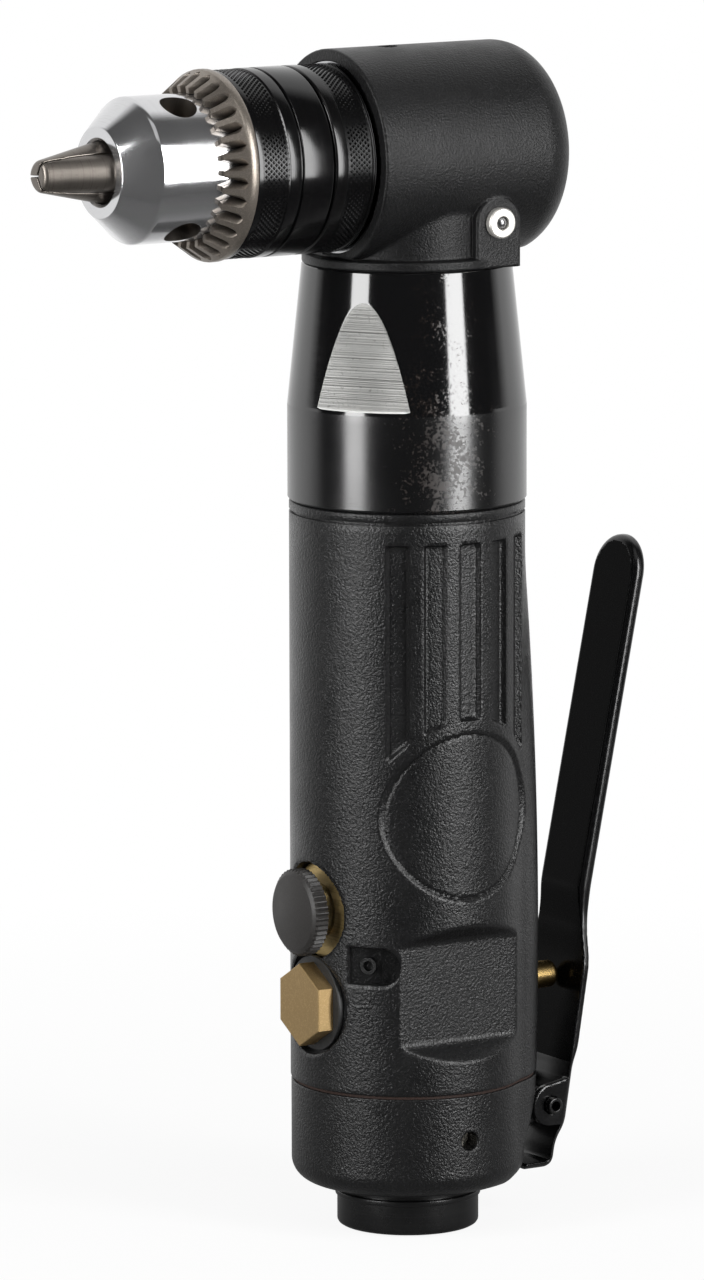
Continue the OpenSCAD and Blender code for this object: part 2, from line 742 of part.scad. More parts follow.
// Long swelling behind the grip, cut off by a slope on the end cap
module swelling() {
    low = asin((swell_z - cap_z0) / swell_bow_r);
    high = asin((housing_z1 - lip_h - swell_z) / swell_bow_r);
    difference() {
        translate([swell_reach - swell_r - swell_bow_r, 0, swell_z])
            rotate([90, 0, 0])
                rotate([0, 0, -low])
                    rotate_extrude(angle = low + high, $fn = 1440)
                        translate([swell_bow_r, 0]) circle(r = swell_r, $fn = 72);
        translate([handle_r, 0, swell_end_z])
            rotate([0, swell_slope, 0])
                translate([0, -2 * handle_r, -2 * handle_r]) cube(4 * handle_r);
    }
}

// Everything between two heights
module slab(z0, z1) {
    translate([-2 * handle_r, -2 * handle_r, z0]) cube([4 * handle_r, 4 * handle_r, z1 - z0]);
}

// Plate in the XZ plane, drawn by its children, from y0 for the thickness given
module y_plate(y0, t) {
    translate([0, y0 + t, 0]) rotate([90, 0, 0]) linear_extrude(height = t) children();
}

// Head casting with its cavity, neck, grease boss and the spigot that enters the gear case
module head_housing() {
    color("#232326")
    difference() {
        union() {
            intersection() {
                translate([0, 0, head_z]) rotate([0, 90, 0]) rotate_extrude() head_outline();
                slab(flange_z1, head_z + 2 * head_r);
            }
            z_rod(case_z1, flange_z1, case_top_r - seat_gap);
            z_rod(upper_bearing_z1, flange_z1, shaft_bearing_r - seat_gap);
            z_rod(case_z1, head_z, neck_r);
            translate([boss_x, 0, head_z - boss_drop]) y_rod(-boss_face_y, 0, boss_r);
            translate([boss_x - boss_r, -boss_face_y, case_z1])
                cube([2 * boss_r, boss_face_y, head_rise - boss_drop]);
        }
        z_rod(upper_bearing_z1 - over, head_z, pinion_way_r);
        translate([0, 0, head_z]) {
            x_rod(-rim_x - over, retainer_x1, retainer_r);
            x_rod(-rim_x, front_bearing_x1, front_bearing_r);
            x_rod(-rim_x, rear_bearing_x0, cavity_r);
            x_rod(-rim_x, rear_bearing_x1, rear_bearing_r);
            x_rod(-rim_x, rear_bearing_x1 + rear_relief, rear_bearing_r - rear_relief);
        }
        translate([boss_x, 0, head_z - boss_drop]) y_rod(-boss_face_y - over, 0, nipple_stub_r);
        translate([-set_screw_x, 0, 0]) z_rod(head_z, head_z + head_r + over, set_screw_r);
    }
}

module head_outline() {
    translate([0, -rim_x]) square([head_r, rim_x + rear_x - rear_edge_r]);
    translate([0, -rim_x]) square([head_r - rear_edge_r, rim_x + rear_x]);
    translate([head_r - rear_edge_r, rear_x - rear_edge_r]) circle(r = rear_edge_r);
}

// Grease nipple with a cupped mouth
module grease_nipple() {
    cup_depth = nipple_h + ball_r;
    color("#b9b9bb")
    translate([boss_x, -boss_face_y, head_z - boss_drop])
    difference() {
        union() {
            y_rod(-nipple_h, 0, nipple_r);
            y_rod(-over / 2, nipple_stub_l, nipple_stub_r - seat_gap);
        }
        y_rod(-nipple_h - over, cup_depth - nipple_h, ball_r + seat_gap);
        y_rod(-nipple_h, nipple_stub_l + over, ball_r / 2);
    }
}

// Ball that closes the grease nipple
module nipple_ball() {
    ball_y = ball_r - run_gap - boss_face_y - nipple_h;
    color("#3a3a3c")
    translate([boss_x, ball_y, head_z - boss_drop]) sphere(r = ball_r);
}

// Set screw in the top of the head, with a hexagon socket
module head_set_screw() {
    top = head_z + head_r - edge;
    color("#2b2b2d")
    translate([-set_screw_x, 0, 0])
    difference() {
        z_rod(head_z + cavity_r + seat_gap, top, set_screw_r - seat_gap);
        translate([0, 0, top - 2 * edge]) cylinder(h = 2 * edge + over, r = set_screw_r / 2, $fn = 6);
    }
}

// Ring that keeps the front spindle bearing in the head, with two spanner holes
module bearing_retainer() {
    spanner_y = front_bearing_r - hub_wall;
    spanner_r = 1;
    color("#4a4a4d")
    translate([0, 0, head_z])
    difference() {
        x_tube(retainer_x1 - retainer_t, retainer_x1, retainer_r - seat_gap,
            spindle_hub_r + 2 * side_gap);
        for (s = [-1, 1])
            translate([0, s * spanner_y, 0])
                x_rod(retainer_x1 - retainer_t - over, retainer_x1 - retainer_t / 2, spanner_r);
    }
}

module spindle_front_bearing() {
    color("#9a9a9c")
    translate([0, 0, head_z]) rotate([0, 90, 0])
        bearing(retainer_x1, front_bearing_w, front_bearing_r - seat_gap, spindle_r);
}

module spindle_rear_bearing() {
    color("#9a9a9c")
    translate([0, 0, head_z]) rotate([0, 90, 0])
        bearing(rear_bearing_x0, rear_bearing_w, rear_bearing_r - seat_gap, rear_journal_r);
}

// Blackened steel gear case: straight below, tapering above, with two spanner flats
module gear_case() {
    z0 = housing_z1;
    color("#1b1b1d")
    difference() {
        union() {
            rotate_extrude() polygon([[0, z0], [case_r - edge, z0], [case_r, z0 + edge],
                [case_r, z0 + case_straight_h], [case_top_r, case_z1], [0, case_z1]]);
            z_rod(ring_z1, z0 + over, motor_bore_r - seat_gap);
        }
        z_rod(ring_z1 - over, lower_bearing_z0, carrier_r + 2 * side_gap);
        z_rod(ring_z1, lower_bearing_z0 + shaft_bearing_w, shaft_bearing_r);
        z_rod(ring_z1, case_z1 + over, shaft_bearing_r - case_ledge);
        z_rod(upper_bearing_z1 - shaft_bearing_w, case_z1 + over, shaft_bearing_r);
        for (turn = [0, 180])
            rotate([0, 0, flat_angle + turn])
                translate([flat_x, -case_r, z0 + flat_rise]) cube([case_r, 2 * case_r, case_h]);
    }
}

module shaft_lower_bearing() {
    color("#9a9a9c")
    bearing(lower_bearing_z0, shaft_bearing_w, shaft_bearing_r - seat_gap, shaft_r);
}

module shaft_upper_bearing() {
    color("#9a9a9c")
    bearing(upper_bearing_z1 - shaft_bearing_w, shaft_bearing_w, shaft_bearing_r - seat_gap, shaft_r);
}

// Fixed ring gear with inward teeth
module ring_gear() {
    pitch_r = planet_module * ring_teeth / 2;
    color("#77777b")
    difference() {
        z_rod(front_plate_z1, ring_z1, cylinder_r);
        translate([0, 0, front_plate_z1 - over])
            linear_extrude(height = ring_gear_h + 2 * over)
                polygon(gear_outline(ring_teeth, pitch_r, pitch_r - planet_add, pitch_r + planet_ded,
                    -backlash, 0));
    }
}

// One upright grip groove with round ends, its lower end set off from the badge recess
module grip_groove(a) {
    top = housing_z1 - groove_top_gap - groove_w / 2;
    reach = badge_r + groove_land;
    low = badge_z + sqrt(reach * reach - pow(handle_r * sin(a), 2)) + groove_w / 2;
    rotate([0, 0, a])
        translate([0, groove_depth - handle_r, 0])
            rotate([90, 0, 0])
                linear_extrude(height = groove_depth + over + swell_reach - handle_r) {
                    translate([-groove_w / 2, low]) square([groove_w, top - low]);
                    translate([0, low]) circle(d = groove_w);
                    translate([0, top]) circle(d = groove_w);
                }
}

// Cuts on one side of the grip: grooves, badge recess and flat pad
module grip_side() {
    pad_y = handle_r - pad_depth;
    spread = pad_ramp * (1 + over / pad_depth);
    for (i = [0 : groove_n - 1])
        grip_groove((i - (groove_n - 1) / 2) * groove_step);
    difference() {
        translate([0, 0, badge_z]) y_rod(-handle_r - over, 0, badge_r);
        z_rod(badge_z - badge_r - over, badge_z + badge_r + over, handle_r - badge_depth);
    }
    translate([-handle_r, 0, 0])
        rotate([90, 0, 90])
            linear_extrude(height = 2 * handle_r)
                polygon([[-pad_y, pad_z - pad_h / 2], [-pad_y, pad_z + pad_h / 2],
                    [-handle_r - over, pad_z + pad_h / 2 + spread],
                    [-handle_r - over, pad_z - pad_h / 2 - spread]]);
}

// Pocket with one flat and one round end, and the hole for its hollow pin
module pin_pocket() {
    rotate([0, 0, pocket_angle])
        translate([0, 0, pocket_z]) {
            translate([handle_r - pocket_depth, 0, 0])
                rotate([90, 0, 90])
                    linear_extrude(height = pocket_depth + over) {
                        translate([-pocket_w / 2, -pocket_w / 2])
                            square([pocket_w / 2 + pocket_run, pocket_w]);
                        translate([pocket_run, 0]) circle(d = pocket_w);
                    }
            x_rod(pocket_pin_x0, handle_r, pocket_pin_r);
        }
}

// Bores of the throttle valve, from the plug's seat to the stem's bush
module throttle_bores() {
    translate([0, 0, throttle_z]) {
        x_rod(-handle_r - over, -plug_seat_x, plug_seat_r);
        x_rod(-plug_seat_x - over, plug_inner_x, plug_thread_r);
        x_rod(plug_inner_x - over, seat_x, chamber_r);
        x_rod(seat_x - over, seat_end_x, seat_hole_r);
        x_rod(seat_end_x - seat_gap, swell_reach + over, throttle_bush_r);
    }
}

// Bores of the reverse valve
module reverse_bores() {
    translate([0, 0, reverse_z]) {
        x_rod(-handle_r - over, reverse_flange_t - reverse_face_x, reverse_flange_r + side_gap);
        x_rod(-reverse_face_x, reverse_end_x, reverse_bush_r);
    }
}

// Air ways that join the inlet, the valves and the motor
module air_ways() {
    z_rod(bush_z1 - over, throttle_z, airway_r);
    translate([transfer_x, 0, 0]) z_rod(throttle_z, reverse_z, transfer_r);
    for (s = [-1, 1])
        translate([s * feed_x, 0, 0]) z_rod(reverse_z, block_z1 + over, transfer_r);
}

// Motor housing: a textured tube over a solid valve block, with a swelling behind the grip
module motor_housing() {
    seam_z = housing_z1 - lip_h - seam_groove;
    color("#26262a")
    difference() {
        union() {
            rotate_extrude() polygon([[0, housing_z0], [handle_r, housing_z0], [handle_r, seam_z],
                [handle_r - seam_groove, seam_z], [handle_r - seam_groove, seam_z + seam_groove],
                [handle_r, seam_z + seam_groove], [handle_r, housing_z1], [0, housing_z1]]);
            intersection() {
                swelling();
                slab(housing_z0, seam_z);
            }
        }
        z_rod(block_z1, housing_z1 + over, motor_bore_r);
        grip_side();
        rotate([0, 0, 180]) grip_side();
        pin_pocket();
        throttle_bores();
        reverse_bores();
        air_ways();
        z_rod(housing_z0 - over, bush_z1, bush_tube_r);
        translate([0, dowel_y, 0]) z_rod(housing_z0 - over, housing_z0 + dowel_l, dowel_r);
        translate([0, key_pin_y, 0]) z_rod(block_z1 - key_pin_end, block_z1 + over, cylinder_pin_r);
    }
}

// Motor cylinder with its bore set off the axis and a row of exhaust ports
module motor_cylinder() {
    color("#8b8b8e")
    difference() {
        z_rod(rear_plate_z1, cylinder_z1, cylinder_r);
        translate([0, cylinder_offset, 0])
            z_rod(rear_plate_z1 - over, cylinder_z1 + over, cylinder_bore_r);
        for (i = [1 : 3])
            translate([0, 0, rear_plate_z1 + i * cylinder_len / 4]) y_rod(0, motor_bore_r, transfer_r);
        translate([0, key_pin_y, 0]) z_rod(rear_plate_z1 - over, cylinder_z1 + over, cylinder_pin_r);
    }
}

// End plate of the motor on Z, with its bearing seat open at z0
module end_plate() {
    difference() {
        z_rod(0, plate_t, cylinder_r);
        z_rod(-over, rotor_bearing_w, rotor_bearing_r);
        z_rod(0, plate_t + over, journal_r + side_gap);
        translate([0, key_pin_y, 0]) z_rod(-over, plate_t + over, cylinder_pin_r);
        children();
    }
}

module rear_end_plate() {
    color("#8b8b8e")
    translate([0, 0, block_z1])
        end_plate()
            for (s = [-1, 1])
                translate([s * feed_x, 0, 0]) z_rod(-over, plate_t + over, transfer_r);
}

module front_end_plate() {
    color("#8b8b8e")
    translate([0, 0, front_plate_z1]) mirror([0, 0, 1]) end_plate();
}

module rotor_front_bearing() {
    color("#9a9a9c")
    bearing(front_plate_z1 - rotor_bearing_w, rotor_bearing_w, rotor_bearing_r - seat_gap, journal_r);
}

module rotor_rear_bearing() {
    color("#9a9a9c")
    bearing(block_z1, rotor_bearing_w, rotor_bearing_r - seat_gap, journal_r);
}

// Pin that keys the cylinder and its end plates to the housing
module cylinder_pin() {
    color("#8f8f92")
    translate([0, key_pin_y, 0])
        eased_rod(block_z1 - key_pin_end, front_plate_z1, cylinder_pin_r - seat_gap, edge / 3);
}

// Brass bush of the reverse valve, with its flange in the side of the housing
module reverse_bush() {
    color("#b08d4a")
    difference() {
        translate([0, 0, reverse_z]) {
            x_rod(-reverse_face_x, reverse_flange_t - reverse_face_x, reverse_flange_r);
            x_rod(-reverse_face_x, reverse_end_x, reverse_bush_r - seat_gap);
        }
        translate([0, 0, reverse_z]) x_rod(-reverse_face_x - over, reverse_end_x - over, spool_r);
        air_ways();
    }
}

// Hollow pin in the side pocket
module pocket_pin() {
    color("#1c1c1e")
    rotate([0, 0, pocket_angle])
        translate([0, 0, pocket_z])
            x_tube(pocket_pin_x0, pocket_pin_x0 + pocket_pin_l, pocket_pin_r - seat_gap,
                pocket_pin_r * pin_hollow);
}

// Brass bush that guides the valve stem
module throttle_bush() {
    color("#b08d4a")
    translate([0, 0, throttle_z])
        x_tube(seat_end_x, swell_reach - side_gap, throttle_bush_r - seat_gap, stem_r + run_gap);
}

// Hexagon plug that closes the valve chamber and backs the spring
module valve_plug() {
    color("#b08d4a")
    translate([0, 0, throttle_z])
    difference() {
        union() {
            translate([-plug_head_x0 - plug_head_h, 0, 0])
                rotate([0, 90, 0]) cylinder(h = plug_head_h, r = plug_af / sqrt(3), $fn = 6);
            x_rod(-plug_head_x0, plug_inner_x, plug_thread_r - seat_gap);
        }
        x_rod(spring_pocket_x, plug_inner_x + over, spring_r + spring_wire_r + side_gap);
    }
}

module plug_washer() {
    color("#19191a")
    translate([0, 0, throttle_z])
        x_tube(-plug_head_x0, -plug_seat_x, plug_seat_r - 2 * side_gap, plug_thread_r + seat_gap);
}

// End cap with its lug for the lever, exhaust holes and a round lower edge
module end_cap() {
    color("#242427")
    difference() {
        union() {
            rotate_extrude() {
                translate([0, cap_z0 + cap_edge_r]) square([cap_r, cap_h - cap_edge_r]);
                translate([0, cap_z0]) square([cap_r - cap_edge_r, cap_h]);
                translate([cap_r - cap_edge_r, cap_z0 + cap_edge_r]) circle(r = cap_edge_r);
            }
            intersection() {
                swelling();
                rotate_extrude() polygon([[0, cap_z0], [cap_r - cap_edge_r, cap_z0],
                    [cap_r - cap_edge_r + cap_h, cap_z1], [0, cap_z1]]);
            }
            y_plate(-lug_w / 2, lug_w) {
                translate([pivot_x, pivot_z]) circle(r = lug_r);
                polygon([[cap_bore_r, pivot_z - 2 * lug_r], [cap_bore_r, pivot_z + 2 * lug_r],
                    [pivot_x, pivot_z + lug_r], [pivot_x, pivot_z - lug_r]]);
            }
        }
        z_rod(cap_z0 + cap_floor, cap_z1 + over, cap_bore_r);
        z_rod(cap_z0 - over, cap_z1, bush_tube_r);
        for (i = [0 : exhaust_n - 1])
            rotate([0, 0, i * 360 / exhaust_n])
                translate([exhaust_circle_r, 0, 0]) z_rod(cap_z0 - over, cap_z1, exhaust_r);
        translate([0, 0, cap_hole_z]) y_rod(-handle_r - over, 0, cap_hole_r);
        translate([pivot_x, 0, pivot_z]) y_rod(-lug_w, lug_w, pivot_pin_r);
        translate([0, dowel_y, 0]) z_rod(cap_z1 - dowel_l, cap_z1 + over, dowel_r);
    }
}

// Thin gasket between the end cap and the housing
module cap_gasket() {
    color("#6d5238")
    difference() {
        union() {
            z_rod(cap_z1, housing_z0, cap_r);
            intersection() {
                swelling();
                slab(cap_z1, housing_z0);
            }
        }
        z_rod(cap_z1 - over, housing_z0 + over, cap_bore_r);
        translate([0, dowel_y, 0]) z_rod(cap_z1 - over, housing_z0 + over, dowel_r + seat_gap);
    }
}

module cap_dowel() {
    color("#8f8f92")
    translate([0, dowel_y, 0])
        eased_rod(cap_z1 - dowel_l, housing_z0 + dowel_l, dowel_r - seat_gap, edge / 3);
}

// Felt ring that quiets the exhaust
module muffler() {
    color("#8c8474")
    z_tube(cap_z0 + cap_floor, cap_z0 + cap_floor + muffler_h, cap_bore_r - seat_gap,
        bush_tube_r + seat_gap);
}

// Inlet bush that clamps the end cap to the housing
module inlet_bush() {
    foot_r = bush_r - bush_step;
    ledge_z = inlet_depth + screen_t;
    step_h = 1;
    step_z = bush_foot_h + step_h;
    color("#1d1d1f")
    rotate_extrude() polygon([[inlet_r, 0], [bush_r, 0], [bush_r, bush_foot_h],
        [bush_r + bush_step, bush_foot_h], [bush_r + bush_step, step_z], [foot_r, step_z],
        [foot_r, cap_z0], [bush_tube_r - seat_gap, cap_z0], [bush_tube_r - seat_gap, bush_z1],
        [airway_r, bush_z1], [airway_r, ledge_z], [screen_r, ledge_z], [screen_r, inlet_depth],
        [inlet_r, inlet_depth]]);
}

// Screen that keeps dirt out of the valve
module inlet_screen() {
    mesh_hole = screen_r / 7;
    color("#a9a9ab")
    difference() {
        z_rod(inlet_depth, inlet_depth + screen_t, screen_r - seat_gap);
        z_rod(inlet_depth - over, inlet_depth + screen_t + over, mesh_hole);
        for (i = [0 : 5])
            rotate([0, 0, 60 * i])
                translate([screen_r / 2, 0, 0])
                    z_rod(inlet_depth - over, inlet_depth + screen_t + over, mesh_hole);
    }
}

// Hollow pin of the lever's pivot
module lever_pin() {
    reach = ear_span / 2 + pivot_pin_proud;
    color("#1c1c1e")
    translate([pivot_x, 0, pivot_z])
    difference() {
        y_rod(-reach, reach, pivot_pin_r - seat_gap);
        y_rod(-reach - over, reach + over, pivot_pin_r * pin_hollow);
    }
}

// Path with each inner corner turned into a curve that starts a given length before it
function curved_path(points, cut) = [
    for (i = [0 : len(points) - 1])
        let (p = points[i])
            for (s = i == 0 || i == len(points) - 1 ? [0] : [0, 0.25, 0.5, 0.75, 1])
                i == 0 || i == len(points) - 1 ? p
                    : let (a = points[i - 1] - p, b = points[i + 1] - p)
                        p + cut * (pow(1 - s, 2) * a / norm(a) + s * s * b / norm(b))
];

function left_of(d) = [-d[1], d[0]] / norm(d);

// Band between a path and its copy set off to the left
function band(points, t) = concat(points, [
    for (i = [len(points) - 1 : -1 : 0])
        let (
            n0 = left_of(points[max(i, 1)] - points[max(i, 1) - 1]),
            n1 = left_of(points[min(i + 1, len(points) - 1)] - points[min(i + 1, len(points) - 1) - 1])
        )
            points[i] + t * (n0 + n1) / (1 + n0 * n1)
]);

// Lever of folded sheet: foot, ears at the pivot, knee over the stem and a grip with hemmed edges
module throttle_lever() {
    ear_top = ear_r + 1;
    heel = [lever_back_x - ear_r * tan(shin_lean) - jog_in, foot_z];
    ear_low = [lever_back_x - ear_r * tan(shin_lean), pivot_z - ear_r];
    path = [[foot_tip_x, foot_z], heel, heel + [jog_rise * tan(shin_lean), jog_rise], ear_low,
        [knee_x, knee_z], [knee_x, bow_z], [grip_top_x, lever_top_z]];
    grip = [[knee_x, bow_z], [grip_top_x, lever_top_z]];
    color("#161618")
    difference() {
        union() {
            intersection() {
                y_plate(-ear_span / 2, ear_span) polygon(band(curved_path(path, bend_l), sheet_t));
                lever_face();
            }
            intersection() {
                y_plate(-grip_w / 2, grip_w) polygon(band(grip, grip_hem));
                lever_face();
            }
            for (y = [-ear_span / 2, ear_span / 2 - sheet_t])
                y_plate(y, sheet_t) {
                    translate([pivot_x, pivot_z]) circle(r = ear_r);
                    polygon([[pivot_x, pivot_z - ear_r], ear_low,
                        [lever_back_x + ear_top * tan(shin_lean), pivot_z + ear_top],
                        [pivot_x, pivot_z + ear_r]]);
                }
        }
        translate([pivot_x, 0, pivot_z]) y_rod(-ear_span, ear_span, pivot_pin_r + run_gap);
    }
}

// Outline of the lever seen along X: wide at the ears, narrow at the grip, round on top
module lever_face() {
    round_z = lever_top_z - grip_w / 2;
    rotate([90, 0, 90])
        linear_extrude(height = grip_top_x + grip_w) {
            polygon([[-ear_span / 2, 0], [ear_span / 2, 0], [ear_span / 2, knee_z],
                [grip_w / 2, bow_z], [grip_w / 2, round_z], [-grip_w / 2, round_z],
                [-grip_w / 2, bow_z], [-ear_span / 2, knee_z]]);
            translate([0, round_z]) circle(d = grip_w);
        }
}

// Valve stem with a domed end under the lever
module valve_stem() {
    color("#b08d4a")
    translate([0, 0, throttle_z]) {
        x_rod(valve_head_x1, stem_tip_x - stem_r, stem_r);
        translate([stem_tip_x - stem_r, 0, 0]) sphere(r = stem_r);
    }
}

// Valve head that the stem lifts off its seat
module valve_head() {
    color("#8f8f92")
    translate([0, 0, throttle_z]) {
        x_rod(valve_head_x0, valve_head_x1, valve_head_r);
        x_rod(valve_head_x0 - 2 * edge, valve_head_x1, spring_r - spring_wire_r - side_gap);
    }
}

// Ring that seals the valve head against its seat
module valve_seal() {
    color("#202022")
    translate([0, 0, throttle_z])
        x_tube(valve_head_x1, seat_x - run_gap, valve_head_r, stem_r + run_gap);
}

// Valve spring as one unbroken tube of six sides
module valve_spring() {
    sides = 6;
    echo(spring_gap = spring_gap);
    last = len(spring_path) - 1;
    points = [
        for (p = spring_path)
            let (out = [0, p[1], p[2]] / spring_r)
                for (j = [0 : sides - 1])
                    p + spring_wire_r * (cos(60 * j) * out + sin(60 * j) * [1, 0, 0])
    ];
    faces = concat(
        [for (j = [1 : sides - 2]) [0, j, j + 1]],
        [for (j = [1 : sides - 2]) [last * sides, last * sides + j + 1, last * sides + j]],
        [
            for (i = [0 : last - 1])
                for (j = [0 : sides - 1])
                    for (side = [0, 1])
                        let (a = i * sides + j, b = i * sides + (j + 1) % sides)
                            side == 0 ? [a, a + sides, b] : [b, a + sides, b + sides]
        ]
    );
    color("#9a9a9c")
    translate([0, 0, throttle_z]) polyhedron(points, faces);
}

// Reverse knob
module reverse_knob() {
    color("#2e2e31")
    translate([0, 0, reverse_z])
        rotate([0, 90, 0]) eased_rod(-knob_face_x, knob_t - knob_face_x, knob_r, edge / 2);
}

// Spool that turns in the reverse bush to send the air either way round
module reverse_spool() {
    waist = spool_r;
    color("#8f8f92")
    translate([0, 0, reverse_z])
    difference() {
        x_rod(knob_t - knob_face_x, reverse_end_x - over - side_gap, spool_r - run_gap);
        for (s = [-1, 1])
            translate([0, -spool_r, s > 0 ? waist / 2 : -waist / 2 - spool_r])
                cube([reverse_end_x, 2 * spool_r, spool_r]);
        x_tube(seal_x - seal_wire_r - run_gap, seal_x + seal_wire_r + run_gap, 2 * spool_r,
            spool_r - 2 * seal_wire_r - run_gap);
    }
}

// Ring that seals the spool in its bush
module spool_seal() {
    color("#202022")
    translate([seal_x, 0, reverse_z])
        rotate([0, 90, 0])
            rotate_extrude() translate([spool_r - seal_wire_r - run_gap, 0]) circle(r = seal_wire_r);
}

// Spindle: chuck thread in front, hub, two journals and a threaded hole for the chuck screw
module spindle() {
    color("#8f8f92")
    translate([0, 0, head_z])
    difference() {
        union() {
            x_rod(spindle_x0, chuck_x1, spindle_nose_r - seat_gap);
            x_rod(chuck_x1, retainer_x1 - side_gap, spindle_hub_r);
            x_rod(chuck_x1, rear_bearing_x0 - 2 * side_gap, spindle_r - run_gap);
            x_rod(chuck_x1, rear_bearing_x1, rear_journal_r - run_gap);
        }
        x_rod(spindle_x0 - over, spindle_x0 + chuck_screw_l, chuck_screw_r);
    }
}

// Bevel gear on the spindle
module bevel_gear() {
    color("#77777b")
    translate([0, 0, head_z]) {
        rotate([0, 90, 0]) {
            bevel_blank(90 - pinion_cone_a, gear_back_x, spindle_r);
            bevel_teeth(gear_teeth, 90 - pinion_cone_a, 0);
        }
        x_tube(gear_back_x, rear_bearing_x0 - side_gap, gear_hub_r, spindle_r);
    }
}

// Chuck body: polished nose with three sloping jaw bores, and a rear part flush with the sleeve
module chuck_body() {
    mid_r = sleeve_bore_r - run_gap;
    color("#c9cacc")
    difference() {
        translate([0, 0, head_z])
            rotate([0, 90, 0])
                rotate_extrude() polygon([[0, nose_x0], [nose_face_r, nose_x0], [nose_r, cone_x1],
                    [nose_r, nut_x0 - side_gap], [nut_core_r, nut_x0 - side_gap],
                    [nut_core_r, nut_x1 + side_gap], [mid_r, nut_x1 + side_gap], [mid_r, chuck_ring_x0],
                    [sleeve_r, chuck_ring_x0], [sleeve_r, chuck_x1 - edge], [sleeve_r - edge, chuck_x1],
                    [0, chuck_x1]]);
        for (k = [0 : 2])
            on_jaw(k)
                translate([0, 0, -jaw_out]) cylinder(h = jaw_out + jaw_way_l, r = jaw_r + run_gap);
        translate([0, 0, head_z]) {
            x_rod(nose_x0 - over, shank_floor_x, shank_r);
            x_rod(nose_x0, chuck_x1 + over, chuck_screw_r + seat_gap);
            x_rod(spindle_x0, chuck_x1 + over, spindle_nose_r);
            for (k = [0 : 2])
                rotate([pilot_turn + 120 * k, 0, 0])
                    translate([pilot_x, 0, 0]) z_rod(nose_r - pilot_depth, nose_r + over, pilot_r);
        }
    }
}

// Slotted screw that locks the chuck to the spindle
module chuck_screw() {
    head_h = 2.6;
    head_lap = 1.5;
    color("#6f6f72")
    translate([0, 0, head_z])
    difference() {
        union() {
            x_rod(shank_floor_x - head_h, shank_floor_x, chuck_screw_r + head_lap);
            x_rod(shank_floor_x, spindle_x0 + chuck_screw_l, chuck_screw_r - seat_gap);
        }
        translate([shank_floor_x - head_h - over, -nose_r, -edge])
            cube([over + head_h / 2, 2 * nose_r, 2 * edge]);
    }
}

// Sleeve with bevel teeth for the key in front and a marking groove round its middle
module chuck_sleeve() {
    front_r = nose_r + run_gap;
    cone_l = tooth_rim_r / sin(key_cone_a);
    tooth_l = (tooth_rim_r - key_inner_r) / sin(key_cone_a);
    foot_half = 0.38 * key_pitch;
    crest_half = 0.1 * key_pitch;
    color("#1d1d1f")
    translate([0, 0, head_z])
        rotate([0, 90, 0]) {
            rotate_extrude() difference() {
                polygon([[front_r, key_root_x(front_r)], [tooth_rim_r, key_root_x(tooth_rim_r)],
                    [tooth_rim_r, teeth_x1], [sleeve_r, teeth_x1], [sleeve_r, sleeve_x1],
                    [sleeve_bore_r, sleeve_x1], [sleeve_bore_r, nut_x0], [front_r, nut_x0]]);
                translate([sleeve_r - seam_groove / 2, sleeve_groove_x]) square([over, seam_groove]);
            }
            difference() {
                translate([0, 0, key_apex_x])
                    for (i = [0 : key_teeth - 1])
                        rotate([0, 0, i * 360 / key_teeth])
                            bevel_tooth(cone_l, tooth_l, key_cone_a, foot_half, crest_half, 0, key_tooth_h);
                z_rod(teeth_x0 - over, nut_x0, front_r);
            }
        }
}

// Split nut that turns with the sleeve and drives the jaws
module chuck_nut() {
    slit = 2 * side_gap;
    color("#77777b")
    translate([0, 0, head_z])
    difference() {
        rotate([0, 90, 0])
            rotate_extrude() polygon([[jaw_line_r(nut_x0), nut_x0], [sleeve_bore_r - seat_gap, nut_x0],
                [sleeve_bore_r - seat_gap, nut_x1], [jaw_line_r(nut_x1), nut_x1]]);
        translate([nut_x0 - over, -slit / 2, -handle_r]) cube([nut_w + 2 * over, slit, 2 * handle_r]);
    }
}

// Jaw number k: a sloping rod whose front is cut to a third of a circle
module chuck_jaw(k) {
    front_l = jaw_out / cos(jaw_angle);
    wide = 4 * jaw_r;
    apex = jaw_split / 2 / sin(60);
    color("#6a6662")
    intersection() {
        on_jaw(k) translate([0, 0, -front_l - jaw_r]) cylinder(h = jaw_len + jaw_r, r = jaw_r);
        translate([jaw_x0, 0, head_z])
            rotate([jaw_turn + 120 * k, 0, 0])
                rotate([90, 0, 90])
                    linear_extrude(height = 2 * jaw_len)
                        polygon([[0, apex], [wide, apex + wide / tan(60)], [wide, 2 * wide],
                            [-wide, 2 * wide], [-wide, apex + wide / tan(60)]]);
    }
}

module chuck_jaw_1() {
    chuck_jaw(0);
}

module chuck_jaw_2() {
    chuck_jaw(1);
}

module chuck_jaw_3() {
    chuck_jaw(2);
}

// Bevel pinion on the shaft that the planet carrier turns
module bevel_pinion() {
    back = bevel_r + 2 * edge;
    color("#77777b") {
        z_rod(carrier_z0, head_z - back, shaft_r - run_gap);
        translate([0, 0, head_z])
            rotate([180, 0, 0]) {
                bevel_blank(pinion_cone_a, back, 0);
                bevel_teeth(pinion_teeth, pinion_cone_a, 180 / pinion_teeth);
            }
    }
}

// Carrier that the planets turn round
module planet_carrier() {
    color("#8b8b8e")
    difference() {
        union() {
            z_rod(carrier_z0, carrier_z1, carrier_r);
            z_rod(carrier_z0, carrier_hub_z1, carrier_hub_r);
        }
        z_rod(carrier_z0 - over, carrier_hub_z1 + over, shaft_r);
        for (k = [0 : 2])
            on_planet(k) z_rod(carrier_z0 - over, carrier_z1 + over, planet_pin_r);
    }
}

// Place of planet number k
module on_planet(k) {
    rotate([0, 0, 120 * k]) translate([planet_orbit, 0, 0]) children();
}

